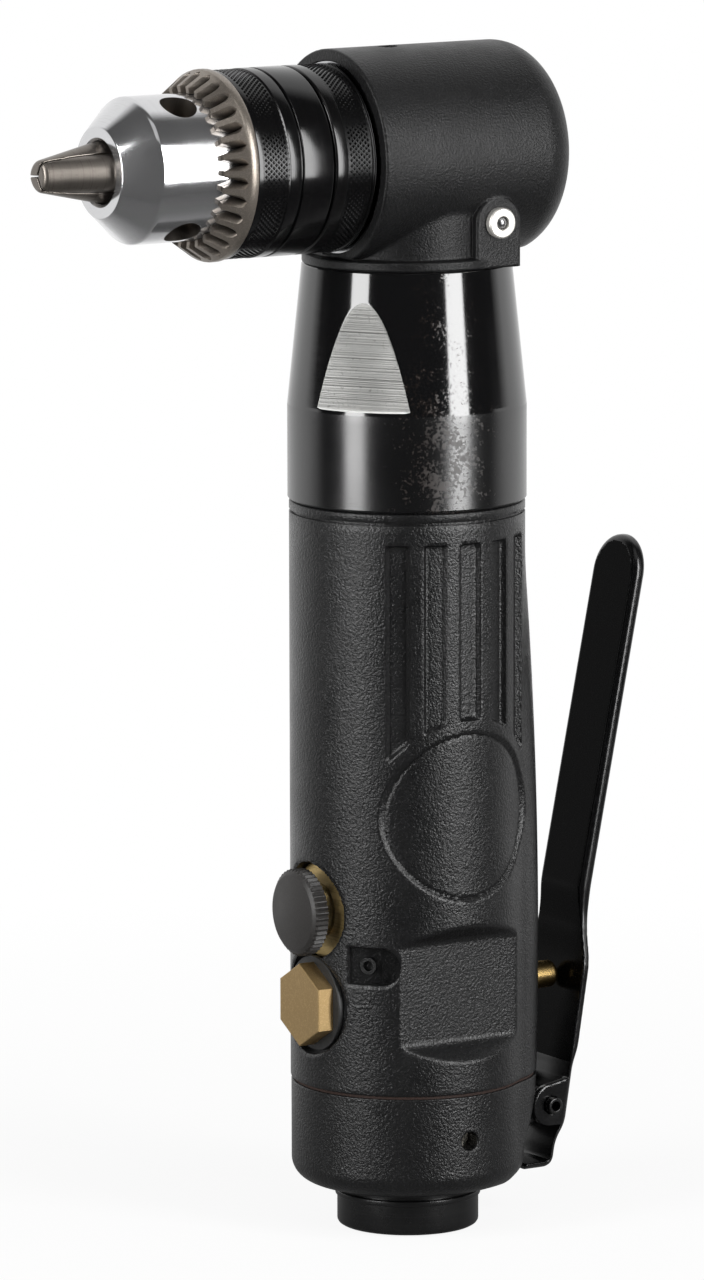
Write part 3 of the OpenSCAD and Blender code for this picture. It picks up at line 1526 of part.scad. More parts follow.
module planet_pins() {
    color("#8f8f92")
    for (k = [0 : 2])
        on_planet(k) eased_rod(planet_z0 - edge, carrier_z1, planet_pin_r - seat_gap, edge / 3);
}

// Planet gear number k, turned so that it meshes with the sun and the ring
module planet_gear(k) {
    pitch_r = planet_module * planet_teeth / 2;
    place = 120 * k;
    mesh_turn = place + 180 + place * sun_teeth / planet_teeth - 180 / planet_teeth;
    color("#77777b")
    difference() {
        translate(planet_orbit * [cos(place), sin(place), 0])
            translate([0, 0, planet_z0])
                linear_extrude(height = planet_w)
                    polygon(gear_outline(planet_teeth, pitch_r, pitch_r - planet_ded, pitch_r + planet_add,
                        backlash, mesh_turn));
        on_planet(k) z_rod(planet_z0 - over, planet_z1 + over, planet_pin_r + run_gap);
    }
}

module planet_gear_1() {
    planet_gear(0);
}

module planet_gear_2() {
    planet_gear(1);
}

module planet_gear_3() {
    planet_gear(2);
}

// Slotted rotor with two journals and the sun teeth on its upper end
module rotor() {
    pitch_r = planet_module * sun_teeth / 2;
    color("#8b8b8e")
    difference() {
        union() {
            z_rod(rear_plate_z1 + rotor_gap, cylinder_z1 - rotor_gap, rotor_r);
            z_rod(block_z1 + side_gap, front_plate_z1 + edge, journal_r - run_gap);
            translate([0, 0, front_plate_z1])
                linear_extrude(height = planet_z1 - front_plate_z1)
                    polygon(gear_outline(sun_teeth, pitch_r, pitch_r - planet_ded, pitch_r + planet_add,
                        backlash, 0));
        }
        for (i = [0 : vane_n - 1])
            rotate([0, 0, i * 360 / vane_n])
                translate([vane_root_r - side_gap, -vane_t / 2 - run_gap, rear_plate_z1])
                    cube([vane_h + over, vane_t + 2 * run_gap, cylinder_len]);
    }
}

// Vanes in the slots of the rotor
module rotor_vanes() {
    color("#4f4338")
    for (i = [0 : vane_n - 1])
        rotate([0, 0, i * 360 / vane_n])
            translate([vane_root_r, -vane_t / 2, rear_plate_z1 + 2 * rotor_gap])
                cube([vane_h - rotor_gap, vane_t, cylinder_len - 4 * rotor_gap]);
}

head_housing();
grease_nipple();
nipple_ball();
head_set_screw();
bearing_retainer();
spindle_front_bearing();
spindle_rear_bearing();
gear_case();
shaft_lower_bearing();
shaft_upper_bearing();
ring_gear();
motor_housing();
motor_cylinder();
front_end_plate();
rear_end_plate();
rotor_front_bearing();
rotor_rear_bearing();
cylinder_pin();
reverse_bush();
pocket_pin();
throttle_bush();
valve_plug();
plug_washer();
end_cap();
cap_gasket();
cap_dowel();
muffler();
inlet_bush();
inlet_screen();
lever_pin();
throttle_lever();
valve_stem();
valve_head();
valve_seal();
valve_spring();
reverse_knob();
reverse_spool();
spool_seal();
spindle();
bevel_gear();
chuck_body();
chuck_screw();
chuck_sleeve();
chuck_nut();
chuck_jaw_1();
chuck_jaw_2();
chuck_jaw_3();
bevel_pinion();
planet_carrier();
planet_pins();
planet_gear_1();
planet_gear_2();
planet_gear_3();
rotor();
rotor_vanes();
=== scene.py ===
"""Right angle air drill: finer shapes, finishes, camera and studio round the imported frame."""
import functools
import json
import math

import bmesh
import bpy
import numpy as np
from mathutils import Matrix, Vector


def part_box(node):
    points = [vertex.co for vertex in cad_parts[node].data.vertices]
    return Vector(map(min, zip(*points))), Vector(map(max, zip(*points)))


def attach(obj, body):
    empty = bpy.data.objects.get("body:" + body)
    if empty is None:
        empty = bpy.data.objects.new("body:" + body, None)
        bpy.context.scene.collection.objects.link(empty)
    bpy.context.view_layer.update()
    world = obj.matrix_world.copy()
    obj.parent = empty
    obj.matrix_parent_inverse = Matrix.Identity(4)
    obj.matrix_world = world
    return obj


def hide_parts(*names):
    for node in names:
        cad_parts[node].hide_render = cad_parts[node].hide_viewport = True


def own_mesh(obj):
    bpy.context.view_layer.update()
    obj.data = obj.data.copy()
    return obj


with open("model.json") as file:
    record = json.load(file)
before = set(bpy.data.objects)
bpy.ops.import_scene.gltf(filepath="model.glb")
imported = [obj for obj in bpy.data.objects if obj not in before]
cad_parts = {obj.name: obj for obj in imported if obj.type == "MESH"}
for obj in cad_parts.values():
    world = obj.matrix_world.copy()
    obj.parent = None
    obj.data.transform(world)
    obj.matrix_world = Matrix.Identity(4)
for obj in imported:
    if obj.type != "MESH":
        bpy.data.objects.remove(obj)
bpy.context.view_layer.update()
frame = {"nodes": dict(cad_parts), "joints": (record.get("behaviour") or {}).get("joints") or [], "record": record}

bl_info = {
    "name": "Right angle air drill",
    "version": (1, 0, 0),
    "blender": (4, 5, 0),
    "location": "3D View > Sidebar > Air drill",
    "description": "Finer pieces, finishes and studio for a right angle air drill",
    "category": "Object",
}

X, Y, Z = range(3)


def mm(length):
    """Millimetres as metres."""
    return length * 0.001


def low(node, axis):
    """Lowest place of a CAD node along an axis."""
    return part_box(node)[0][axis]


def high(node, axis):
    """Highest place of a CAD node along an axis."""
    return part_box(node)[1][axis]


def middle(node, axis):
    """Middle of a CAD node along an axis."""
    return (low(node, axis) + high(node, axis)) / 2


def joint_reach(name):
    """Longest travel of a sliding joint from its rest place."""
    return max(abs(v) for v in next(j for j in frame["joints"] if j["name"] == name)["range_m"])


# Handle, from the frame
HANDLE_R = high("motor_housing", Y)
HOUSING_Z0 = low("motor_housing", Z)
HOUSING_Z1 = high("motor_housing", Z)
SWELL_REACH = high("motor_housing", X)
MOTOR_BORE_R = high("motor_cylinder", Y)
BLOCK_Z1 = low("rear_end_plate", Z)
CAP_Z0 = low("end_cap", Z)
CAP_Z1 = high("end_cap", Z)
CAP_R = high("cap_gasket", Y)
CAP_BORE_R = high("muffler", Y)
CAP_FLOOR_Z = low("muffler", Z)
BUSH_TOP_Z = high("inlet_bush", Z)
CASE_R = high("gear_case", Y)
CASE_Z1 = high("gear_case", Z)

# Head and chuck, from the frame
HEAD_Z = middle("chuck_sleeve", Z)
HEAD_R = high("head_housing", Z) - HEAD_Z
REAR_X = high("head_housing", X)
FLANGE_R = -low("head_housing", X)
RETAINER_X0 = low("bearing_retainer", X)
RETAINER_X1 = high("bearing_retainer", X)
RETAINER_R = high("bearing_retainer", Y)
CHUCK_X1 = high("chuck_body", X)
NOSE_X0 = low("chuck_body", X)
SLEEVE_X0 = low("chuck_sleeve", X)
SLEEVE_X1 = high("chuck_sleeve", X)
KEY_RIM_R = high("chuck_sleeve", Y)
JAW_X0 = low("chuck_jaw_1", X)

# Valves and lever, from the frame
THROTTLE_Z = middle("valve_plug", Z)
REVERSE_Z = middle("reverse_knob", Z)
KNOB_R = high("reverse_knob", Y)
KNOB_X0 = low("reverse_knob", X)
KNOB_X1 = high("reverse_knob", X)
PIVOT_X = middle("lever_pin", X)
PIVOT_Z = middle("lever_pin", Z)
LEVER_TOP = (high("throttle_lever", X), high("throttle_lever", Z))
EAR_SPAN = high("throttle_lever", Y) - low("throttle_lever", Y)


def length_property(name, description, default):
    """Length setting, in metres."""
    return bpy.props.FloatProperty(name=name, description=description, default=default, unit="LENGTH")


def angle_property(name, description, degrees):
    """Angle setting."""
    return bpy.props.FloatProperty(
        name=name, description=description, default=math.radians(degrees), subtype="ANGLE")


def count_property(name, description, default, fewest, most):
    """Number of like details."""
    return bpy.props.IntProperty(
        name=name, description=description, default=default, min=fewest, max=most)


class GripSizes(bpy.types.PropertyGroup):
    """Sizes of the grip's moulded details."""
    groove_count: count_property("Grooves", "Upright grip grooves on each side", 5, 1, 7)
    groove_width: length_property("Groove width", "Width of a grip groove", mm(4))
    groove_depth: length_property("Groove depth", "Depth of a grip groove", mm(1))
    groove_step: angle_property("Groove step", "Angle between two grip grooves", 18.5)
    groove_soft: length_property("Groove edge", "Width of a groove's soft edge", mm(0.6))
    badge_radius: length_property("Badge radius", "Radius of the bare badge recess", mm(14.2))
    badge_depth: length_property("Badge depth", "Depth of the badge recess", mm(0.5))
    badge_height: length_property("Badge height", "Height of the badge's centre", mm(75.2))
    pad_depth: length_property("Pad depth", "Depth of the flat side pad", mm(3.9))
    pad_length: length_property("Pad length", "Length of the flat side pad", mm(18))
    pad_height: length_property("Pad height", "Height of the side pad's centre", mm(44.1))


class ChuckSizes(bpy.types.PropertyGroup):
    """Sizes of the cut details of the chuck and the reverse knob."""
    key_teeth: count_property("Key teeth", "Teeth for the chuck key", 30, 12, 48)
    notch_depth: length_property("Notch depth", "Depth of a key notch at the front", mm(3.3))
    knurl_pitch: length_property("Knurl pitch", "Size of one knurl diamond", mm(0.95))
    knurl_height: length_property("Knurl height", "Height of a knurl diamond", mm(0.24))
    knob_ridges: count_property("Knob ridges", "Straight ridges round the reverse knob", 48, 24, 80)


def colour_property(name, description, red, green, blue):
    """Colour setting of a finish, in linear values."""
    return bpy.props.FloatVectorProperty(
        name=name, description=description, default=(red, green, blue, 1), size=4,
        subtype="COLOR", min=0, max=1)


class FinishColours(bpy.types.PropertyGroup):
    """Colours of the finishes."""
    coat: colour_property("Coat", "Textured coat of the castings", 0.0042, 0.0042, 0.0044)
    coat_fleck: colour_property("Coat fleck", "Bright grains of the coat", 0.011, 0.011, 0.0115)
    oxide: colour_property("Black oxide", "Blackened steel", 0.0026, 0.0026, 0.0028)
    oxide_rust: colour_property("Oxide rust", "Brown bloom on blackened steel", 0.02, 0.0135, 0.0105)
    lever: colour_property("Lever paint", "Gloss paint of the lever", 0.0026, 0.0026, 0.0028)
    steel: colour_property("Polished steel", "Nose of the chuck", 0.66, 0.66, 0.67)
    ring: colour_property("Key ring steel", "Matte steel of the key teeth", 0.25, 0.22, 0.19)
    jaw: colour_property("Jaw steel", "Steel of the jaws", 0.2, 0.18, 0.16)
    brass: colour_property("Brass", "Valve bushes and plug", 0.72, 0.5, 0.2)
    knob: colour_property("Knob", "Dark anodised knob", 0.0135, 0.0122, 0.0112)
    gasket: colour_property("Gasket", "Fibre gasket", 0.02, 0.008, 0.005)


class StudioSettings(bpy.types.PropertyGroup):
    """Camera and light of the studio."""
    camera_place: bpy.props.FloatVectorProperty(
        name="Camera", description="Place of the camera", subtype="TRANSLATION", unit="LENGTH",
        default=(mm(-782.53), mm(-1236.13), mm(339.81)))
    camera_aim: bpy.props.FloatVectorProperty(
        name="Aim", description="Point that the camera looks at", subtype="TRANSLATION",
        unit="LENGTH", default=(mm(-8.14), mm(5.08), mm(103.38)))
    camera_roll: angle_property("Roll", "Turn of the camera about its view", -0.12)
    lens: bpy.props.FloatProperty(
        name="Lens", description="Focal length in millimetres", default=239.66)
    strip_turn: angle_property("Strip turn", "Angle of the strip lamps to each side of the camera", 51)
    strip_distance: length_property("Strip distance", "Distance of the lamps from the handle", 0.78)
    left_level: bpy.props.FloatProperty(
        name="Left level", description="Brightness of the left strip", default=10.0)
    right_level: bpy.props.FloatProperty(
        name="Right level", description="Brightness of the right strip", default=12.0)
    top_level: bpy.props.FloatProperty(
        name="Top level", description="Brightness of the top softbox", default=0.6)


# Meshes


def weld(mesh, distance=mm(0.0005)):
    """Merges points that fall together and drops faces without area."""
    work = bmesh.new()
    work.from_mesh(mesh)
    bmesh.ops.remove_doubles(work, verts=work.verts, dist=distance)
    bmesh.ops.dissolve_degenerate(work, edges=work.edges, dist=distance / 10)
    work.to_mesh(mesh)
    work.free()


def signed_volume(points, faces):
    """Volume of a closed mesh, negative where its faces point inwards."""
    total = 0.0
    for size in {len(face) for face in faces}:
        ring = points[np.array([face for face in faces if len(face) == size])]
        for i in range(1, size - 1):
            total += (ring[:, 0] * np.cross(ring[:, i], ring[:, i + 1])).sum()
    return total / 6


def mesh_of(name, points, faces, sharp=35.0):
    """Closed mesh with its faces outwards, smooth but for edges sharper than the angle."""
    points = np.asarray(points, float)
    faces = [tuple(int(i) for i in f) for f in faces]
    if signed_volume(points, faces) < 0:
        faces = [f[::-1] for f in faces]
    mesh = bpy.data.meshes.new(name)
    mesh.from_pydata(points.tolist(), [], faces)
    weld(mesh)
    shade(mesh, sharp)
    return mesh


def shade(mesh, sharp=35.0):
    """Smooth shading with sharp edges kept."""
    mesh.shade_smooth()
    mesh.set_sharp_from_angle(angle=math.radians(sharp))


def skin(columns, around=True):
    """Faces over columns of points, all of one length, joined side by side."""
    columns = np.asarray(columns, float)
    count, rows = columns.shape[:2]
    grid = np.arange(count * rows).reshape(count, rows)
    after = np.roll(grid, -1, axis=0) if around else grid[1:]
    grid = grid if around else grid[:-1]
    quads = np.stack([grid[:, :-1], after[:, :-1], after[:, 1:], grid[:, 1:]], -1)
    return columns.reshape(-1, 3), quads.reshape(-1, 4).tolist()


def rounded(corners, steps=5):
    """Outline through corners of (radius, along, fillet), with each fillet drawn as an arc."""
    outline = []
    for i, (r, a, fillet) in enumerate(corners):
        here = np.array([r, a])
        if not fillet or i in (0, len(corners) - 1):
            outline.append(here)
            continue
        back = np.array(corners[i - 1][:2]) - here
        ahead = np.array(corners[i + 1][:2]) - here
        back /= np.linalg.norm(back)
        ahead /= np.linalg.norm(ahead)
        half = math.acos(np.clip(np.dot(back, ahead), -1, 1)) / 2
        reach = fillet / math.tan(half)
        centre = here + (back + ahead) / np.linalg.norm(back + ahead) * fillet / math.sin(half)
        start, end = here + back * reach - centre, here + ahead * reach - centre
        for t in np.linspace(0, 1, steps):
            arm = (1 - t) * start + t * end
            outline.append(centre + arm / np.linalg.norm(arm) * fillet)
    return outline


def lathe(outline, axis=Z, centre=(0, 0, 0), segments=128):
    """Turned shape: an outline of (radius, along) carried round an axis through a centre."""
    outline = np.array([p[:2] for p in outline])
    turn = np.linspace(0, 2 * math.pi, segments, endpoint=False)[:, None]
    side = [(axis + 1) % 3, (axis + 2) % 3]
    columns = np.zeros((segments, len(outline), 3))
    columns[..., axis] = outline[None, :, 1]
    columns[..., side[0]] = outline[None, :, 0] * np.cos(turn)
    columns[..., side[1]] = outline[None, :, 0] * np.sin(turn)
    return skin(columns + np.asarray(centre))


def soft_max(a, b, width):
    """Larger of two values, with a soft change over a width."""
    return np.maximum(a, b) + np.maximum(width - np.abs(a - b), 0) ** 2 / (4 * width)


def soft_min(a, b, width):
    """Smaller of two values, with a soft change over a width."""
    return -soft_max(-a, -b, width)


def ease(t):
    """Smooth change from 0 to 1."""
    t = np.clip(t, 0, 1)
    return t * t * (3 - 2 * t)


def both(a, b, fillet):
    """Distance to what lies in both shapes, with a round edge."""
    inner = np.minimum(-fillet, np.maximum(a, b))
    return inner + np.hypot(np.maximum(fillet + a, 0), np.maximum(fillet + b, 0))


def either(a, b, fillet):
    """Distance to what lies in one of two shapes, with a fillet between them."""
    return -both(-a, -b, fillet)


def field_mesh(name, field, corner, far, step):
    """Closed mesh on the zero level of a distance field, with normals from its slope."""
    corner = np.asarray(corner, float)
    counts = np.ceil((np.asarray(far) - corner) / step).astype(int) + 1
    axes = [corner[i] + step * np.arange(counts[i]) for i in range(3)]
    value = field(axes[0][:, None, None], axes[1][None, :, None], axes[2][None, None, :])
    value = np.broadcast_to(value, counts)
    cells = tuple(counts - 1)
    place = [np.zeros(cells) for _ in range(3)]
    hits = np.zeros(cells)
    spots = np.indices(cells)
    quads = []
    number = np.zeros(cells, int)
    crossings = []
    for axis in range(3):
        first = np.take(value, range(counts[axis] - 1), axis)
        second = np.take(value, range(1, counts[axis]), axis)
        crossing = (first < 0) != (second < 0)
        share = np.where(crossing, first / np.where(crossing, first - second, 1), 0)
        crossings.append((crossing, first < 0))
        one, two = (axis + 1) % 3, (axis + 2) % 3
        for shift_one in (0, 1):
            for shift_two in (0, 1):
                window = [slice(None)] * 3
                window[one] = slice(shift_one, shift_one + cells[one])
                window[two] = slice(shift_two, shift_two + cells[two])
                here = crossing[tuple(window)]
                hits += here
                place[axis] += here * (spots[axis] + share[tuple(window)])
                place[one] += here * (spots[one] + shift_one)
                place[two] += here * (spots[two] + shift_two)
    live = hits > 0
    number[live] = np.arange(live.sum())
    points = np.stack([corner[i] + step * place[i][live] / hits[live] for i in range(3)], -1)
    for axis, (crossing, outward) in enumerate(crossings):
        one, two = (axis + 1) % 3, (axis + 2) % 3
        window = [slice(None)] * 3
        window[one] = slice(1, cells[one])
        window[two] = slice(1, cells[two])
        where = np.argwhere(crossing[tuple(window)])
        forward = outward[tuple(window)][tuple(where.T)]
        ring = []
        for shift_one, shift_two in ((0, 0), (1, 0), (1, 1), (0, 1)):
            cell = where.copy()
            cell[:, one] += shift_one
            cell[:, two] += shift_two
            ring.append(number[tuple(cell.T)])
        ring = np.stack(ring, -1)
        ring[~forward] = ring[~forward][:, ::-1]
        quads.append(ring)
    for _ in range(4):
        slope = field_slope(field, points, step * 0.15)
        size = np.maximum((slope ** 2).sum(-1), 0.1)
        level = field(*points.T)
        move = np.clip(level / size, -step, step)
        points = points - slope * move[:, None]
    slope = field_slope(field, points, step * 0.3)
    normals = slope / np.linalg.norm(slope, axis=1, keepdims=True)
    mesh = bpy.data.meshes.new(name)
    mesh.from_pydata(points.tolist(), [], np.concatenate(quads).tolist())
    mesh.shade_smooth()
    mesh.normals_split_custom_set_from_vertices(normals.tolist())
    return mesh


def field_slope(field, points, reach):
    """Slope of a distance field at points."""
    slope = np.zeros_like(points)
    for axis in range(3):
        step = np.zeros(3)
        step[axis] = reach
        slope[:, axis] = field(*(points + step).T) - field(*(points - step).T)
    return slope / (2 * reach)


def add_piece(name, mesh, body, finish=None, nodes=()):
    """Puts a mesh in the scene as a piece that rides on a body and stands for CAD nodes."""
    if finish is not None:
        mesh.materials.clear()
        mesh.materials.append(finish)
    piece = bpy.data.objects.new(name.replace(" ", "_"), mesh)
    bpy.context.scene.collection.objects.link(piece)
    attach(piece, body)
    if nodes:
        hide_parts(*nodes)
    return piece


def turned(name, outline, axis, centre, segments, finish, node, body="housing"):
    """Turned piece that stands for a CAD node."""
    mesh = mesh_of(name, *lathe(outline, axis, centre, segments))
    return add_piece(name, mesh, body, finish, [node])


def dressed(mesh, *made):
    """The mesh with its finishes, in the order of its faces' numbers."""
    for finish in made:
        mesh.materials.append(finish)
    return mesh


def plain_mesh(piece):
    """Turns a piece and its modifiers into a plain mesh."""
    view = bpy.context.evaluated_depsgraph_get()
    mesh = bpy.data.meshes.new_from_object(piece.evaluated_get(view))
    piece.modifiers.clear()
    piece.data = mesh
    return mesh


def scratch_object(name, mesh):
    """Object that is only needed while another one is made."""
    obj = bpy.data.objects.new(name, mesh)
    bpy.context.scene.collection.objects.link(obj)
    return obj


def carve(mesh, cutters, sharp=35.0):
    """Mesh with other meshes cut out of it, each cut in the cutter's finish."""
    obj = scratch_object("carved", mesh)
    tools = [scratch_object("cutter", cutter) for cutter in cutters]
    for tool in tools:
        cut = obj.modifiers.new("Cut", "BOOLEAN")
        cut.operation = "DIFFERENCE"
        cut.solver = "EXACT"
        cut.material_mode = "TRANSFER"
        cut.object = tool
    result = plain_mesh(obj)
    for item in [obj] + tools:
        bpy.data.objects.remove(item)
    weld(result)
    shade(result, sharp)
    return result


# Shader nodes


def put(tree, kind, inputs=None, **settings):
    """New node with its settings, its inputs given as values or as sockets to join."""
    node = tree.nodes.new(kind)
    for name, value in settings.items():
        setattr(node, name, value)
    for socket, value in (inputs or {}).items():
        target = node.inputs[socket]
        if isinstance(value, bpy.types.NodeSocket):
            tree.links.new(value, target)
        else:
            target.default_value = value
    return node


def math_node(tree, operation, *values):
    """Output of a Math node."""
    return put(tree, "ShaderNodeMath", dict(enumerate(values)), operation=operation).outputs[0]


def spread(tree, value, lowest, highest, start=0.0, end=1.0):
    """Value carried from one range to another."""
    return put(tree, "ShaderNodeMapRange", {
        "Value": value, "From Min": start, "From Max": end,
        "To Min": lowest, "To Max": highest}).outputs[0]


def mix_colour(tree, share, first, second):
    """Colour between two others."""
    return put(tree, "ShaderNodeMix", {0: share, 6: first, 7: second},
               data_type="RGBA").outputs[2]


def new_group(name, inputs, outputs):
    """Shader node group with value inputs and outputs."""
    tree = bpy.data.node_groups.new(name, "ShaderNodeTree")
    for label, default in inputs:
        socket = tree.interface.new_socket(label, in_out="INPUT", socket_type="NodeSocketFloat")
        socket.default_value = default
    for label in outputs:
        tree.interface.new_socket(label, in_out="OUTPUT", socket_type="NodeSocketFloat")
    return tree, tree.nodes.new("NodeGroupInput"), tree.nodes.new("NodeGroupOutput")


def grain_group():
    """Pebbled grain of a baked coat: its height, and flecks on its crests."""
    tree, given, result = new_group(
        "Pebbled grain", [("Grain size", mm(0.4)), ("Fleck share", 0.3)], ["Height", "Fleck"])
    place = tree.nodes.new("ShaderNodeTexCoord").outputs["Object"]
    scale = math_node(tree, "DIVIDE", 1.0, given.outputs["Grain size"])
    pebble = put(tree, "ShaderNodeTexNoise", {
        "Vector": place, "Scale": scale, "Detail": 2.0, "Roughness": 0.55}).outputs[0]
    dust = put(tree, "ShaderNodeTexNoise", {
        "Vector": place, "Scale": math_node(tree, "MULTIPLY", scale, 2.3), "Detail": 1.0}).outputs[0]
    height = math_node(tree, "ADD", pebble, math_node(tree, "MULTIPLY", dust, 0.35))
    share = math_node(tree, "MULTIPLY", given.outputs["Fleck share"], 0.3)
    edge = math_node(tree, "SUBTRACT", 0.78, share)
    fleck = put(tree, "ShaderNodeMapRange", {
        "Value": math_node(tree, "MULTIPLY", dust, math_node(tree, "ADD", pebble, 0.55)),
        "From Min": math_node(tree, "SUBTRACT", edge, 0.1), "From Max": edge}).outputs[0]
    tree.links.new(height, result.inputs["Height"])
    tree.links.new(fleck, result.inputs["Fleck"])
    return tree


def lines_group():
    """Fine tool lines across one direction: their height and a mask of the deeper ones."""
    tree, given, result = new_group(
        "Tool lines", [("Line spacing", mm(0.15)), ("Along X", 0.0), ("Along Z", 1.0)],
        ["Height", "Mask"])
    place = tree.nodes.new("ShaderNodeTexCoord").outputs["Object"]
    parts = put(tree, "ShaderNodeSeparateXYZ", {0: place}).outputs
    along = math_node(tree, "ADD",
                      math_node(tree, "MULTIPLY", parts[X], given.outputs["Along X"]),
                      math_node(tree, "MULTIPLY", parts[Z], given.outputs["Along Z"]))
    station = math_node(tree, "DIVIDE", along, given.outputs["Line spacing"])
    line = put(tree, "ShaderNodeTexNoise", {"W": station, "Scale": 1.0, "Detail": 3.0},
               noise_dimensions="1D").outputs[0]
    tree.links.new(line, result.inputs["Height"])
    tree.links.new(spread(tree, line, 0.0, 1.0, 0.55, 0.75), result.inputs["Mask"])
    return tree


def handling_group():
    """Broad blotches of oil and handling, and a sparse speckle."""
    tree, given, result = new_group(
        "Handling marks", [("Blotch size", mm(9)), ("Speckle size", mm(0.7))],
        ["Blotch", "Speckle"])
    place = tree.nodes.new("ShaderNodeTexCoord").outputs["Object"]
    for size, detail, bottom, top, out in (("Blotch size", 4.0, 0.35, 0.65, "Blotch"),
                                           ("Speckle size", 3.0, 0.6, 0.72, "Speckle")):
        scale = math_node(tree, "DIVIDE", 1.0, given.outputs[size])
        noise = put(tree, "ShaderNodeTexNoise", {
            "Vector": place, "Scale": scale, "Detail": detail, "Roughness": 0.6}).outputs[0]
        tree.links.new(spread(tree, noise, 0.0, 1.0, bottom, top), result.inputs[out])
    return tree


def group_node(tree, group, values):
    """Placed node group with its own values."""
    return put(tree, "ShaderNodeGroup", values, node_tree=group)


# Metals with tool lines: name, colour, colour of the lines, line spacing, direction in X and Z,
# roughness from and to, depth, metallic share and specular level
LINED = {
    "seat": ("Blackened seat", (0.005, 0.005, 0.0052, 1), (0.012, 0.012, 0.012, 1),
             mm(0.2), (0.0, 1.0), (0.2, 0.3), mm(0.003), 0.0, 0.6),
    "sleeve": ("Black chuck steel", "oxide", (0.009, 0.008, 0.0075, 1),
               mm(0.2), (1.0, 0.0), (0.12, 0.2), mm(0.002), 0.0, 0.42),
    "milled": ("Milled steel", (0.15, 0.15, 0.145, 1), (0.035, 0.034, 0.032, 1),
               mm(0.3), (0.0, 1.0), (0.36, 0.46), mm(0.05), 1.0, 0.5),
    "polished": ("Polished steel", "steel", (0.5, 0.5, 0.5, 1),
                 mm(0.12), (1.0, 0.0), (0.1, 0.17), mm(0.0015), 0.93, 0.5),
    "jaw": ("Jaw steel", "jaw", (0.12, 0.1, 0.085, 1),
            mm(0.3), (1.0, 0.0), (0.3, 0.42), mm(0.006), 0.95, 0.5),
    "brass": ("Turned brass", "brass", (0.45, 0.29, 0.1, 1),
              mm(0.15), (1.0, 0.0), (0.24, 0.36), mm(0.003), 1.0, 0.5),
    "satin_brass": ("Satin brass", (0.62, 0.46, 0.2, 1), (0.3, 0.19, 0.07, 1),
                    mm(0.3), (0.3, 1.0), (0.32, 0.42), mm(0.004), 0.95, 0.5),
    "satin_steel": ("Satin steel", (0.74, 0.72, 0.68, 1), (0.5, 0.48, 0.44, 1),
                    mm(0.3), (1.0, 0.4), (0.34, 0.42), mm(0.003), 0.75, 0.5),
    # Bare cut edge with a painted highlight: near-white colour on the ledge under each flat.
    "bright_edge": ("Bright cut edge", (0.8, 0.8, 0.78, 1), (0.55, 0.55, 0.53, 1),
                    mm(0.4), (1.0, 1.0), (0.28, 0.36), mm(0.002), 0.1, 0.5),
    "bush": ("Blackened bush", "oxide", (0.009, 0.009, 0.009, 1),
             mm(0.25), (0.0, 1.0), (0.24, 0.36), mm(0.003), 0.0, 0.5),
    "bearing": ("Bearing steel", (0.56, 0.56, 0.57, 1), (0.4, 0.4, 0.41, 1),
                mm(0.2), (0.5, 1.0), (0.16, 0.26), mm(0.002), 1.0, 0.5),
    "gear": ("Gear steel", (0.36, 0.36, 0.37, 1), (0.22, 0.21, 0.2, 1),
             mm(0.25), (1.0, 1.0), (0.26, 0.38), mm(0.005), 1.0, 0.5),
    "iron": ("Motor iron", (0.3, 0.3, 0.31, 1), (0.18, 0.17, 0.165, 1),
             mm(0.3), (0.0, 1.0), (0.34, 0.46), mm(0.006), 1.0, 0.5),
}

# Coats with grain: name, colour, colour of the flecks, grain size, share of flecks,
# roughness from and to, depth, metallic share and specular level
GRAINED = {
    "dull_brass": ("Matte brass", (0.43, 0.295, 0.135, 1), (0.5, 0.35, 0.17, 1),
                   mm(0.5), 0.4, (0.4, 0.5), mm(0.012), 0.9, 0.5),
    "lever": ("Gloss black paint", "lever", (0.005, 0.005, 0.0055, 1),
              mm(1.6), 0.3, (0.18, 0.26), mm(0.004), 0.0, 0.5),
    # Shaded copy of the lever paint: almost no reflection, as painted shade on the faces of the grip.
    "lever_face": ("Thin black paint", "lever", (0.004, 0.004, 0.0044, 1),
                   mm(1.6), 0.3, (0.18, 0.26), mm(0.004), 0.0, 0.03),
    "knob": ("Dark anodised", "knob", (0.03, 0.027, 0.025, 1),
             mm(0.3), 0.4, (0.42, 0.52), mm(0.012), 0.0, 0.5),
    "gasket": ("Gasket fibre", "gasket", (0.034, 0.015, 0.009, 1),
               mm(0.3), 0.5, (0.7, 0.85), mm(0.05), 0.0, 0.5),
    "rubber": ("Seal rubber", (0.012, 0.012, 0.012, 1), (0.025, 0.025, 0.025, 1),
               mm(0.5), 0.3, (0.5, 0.65), mm(0.02), 0.0, 0.5),
    "felt": ("Wool felt", (0.3, 0.28, 0.24, 1), (0.42, 0.4, 0.35, 1),
             mm(0.5), 0.5, (0.85, 0.95), mm(0.25), 0.0, 0.5),
    "vane": ("Vane resin", (0.1, 0.055, 0.03, 1), (0.18, 0.1, 0.05, 1),
             mm(0.4), 0.5, (0.45, 0.6), mm(0.02), 0.0, 0.5),
}


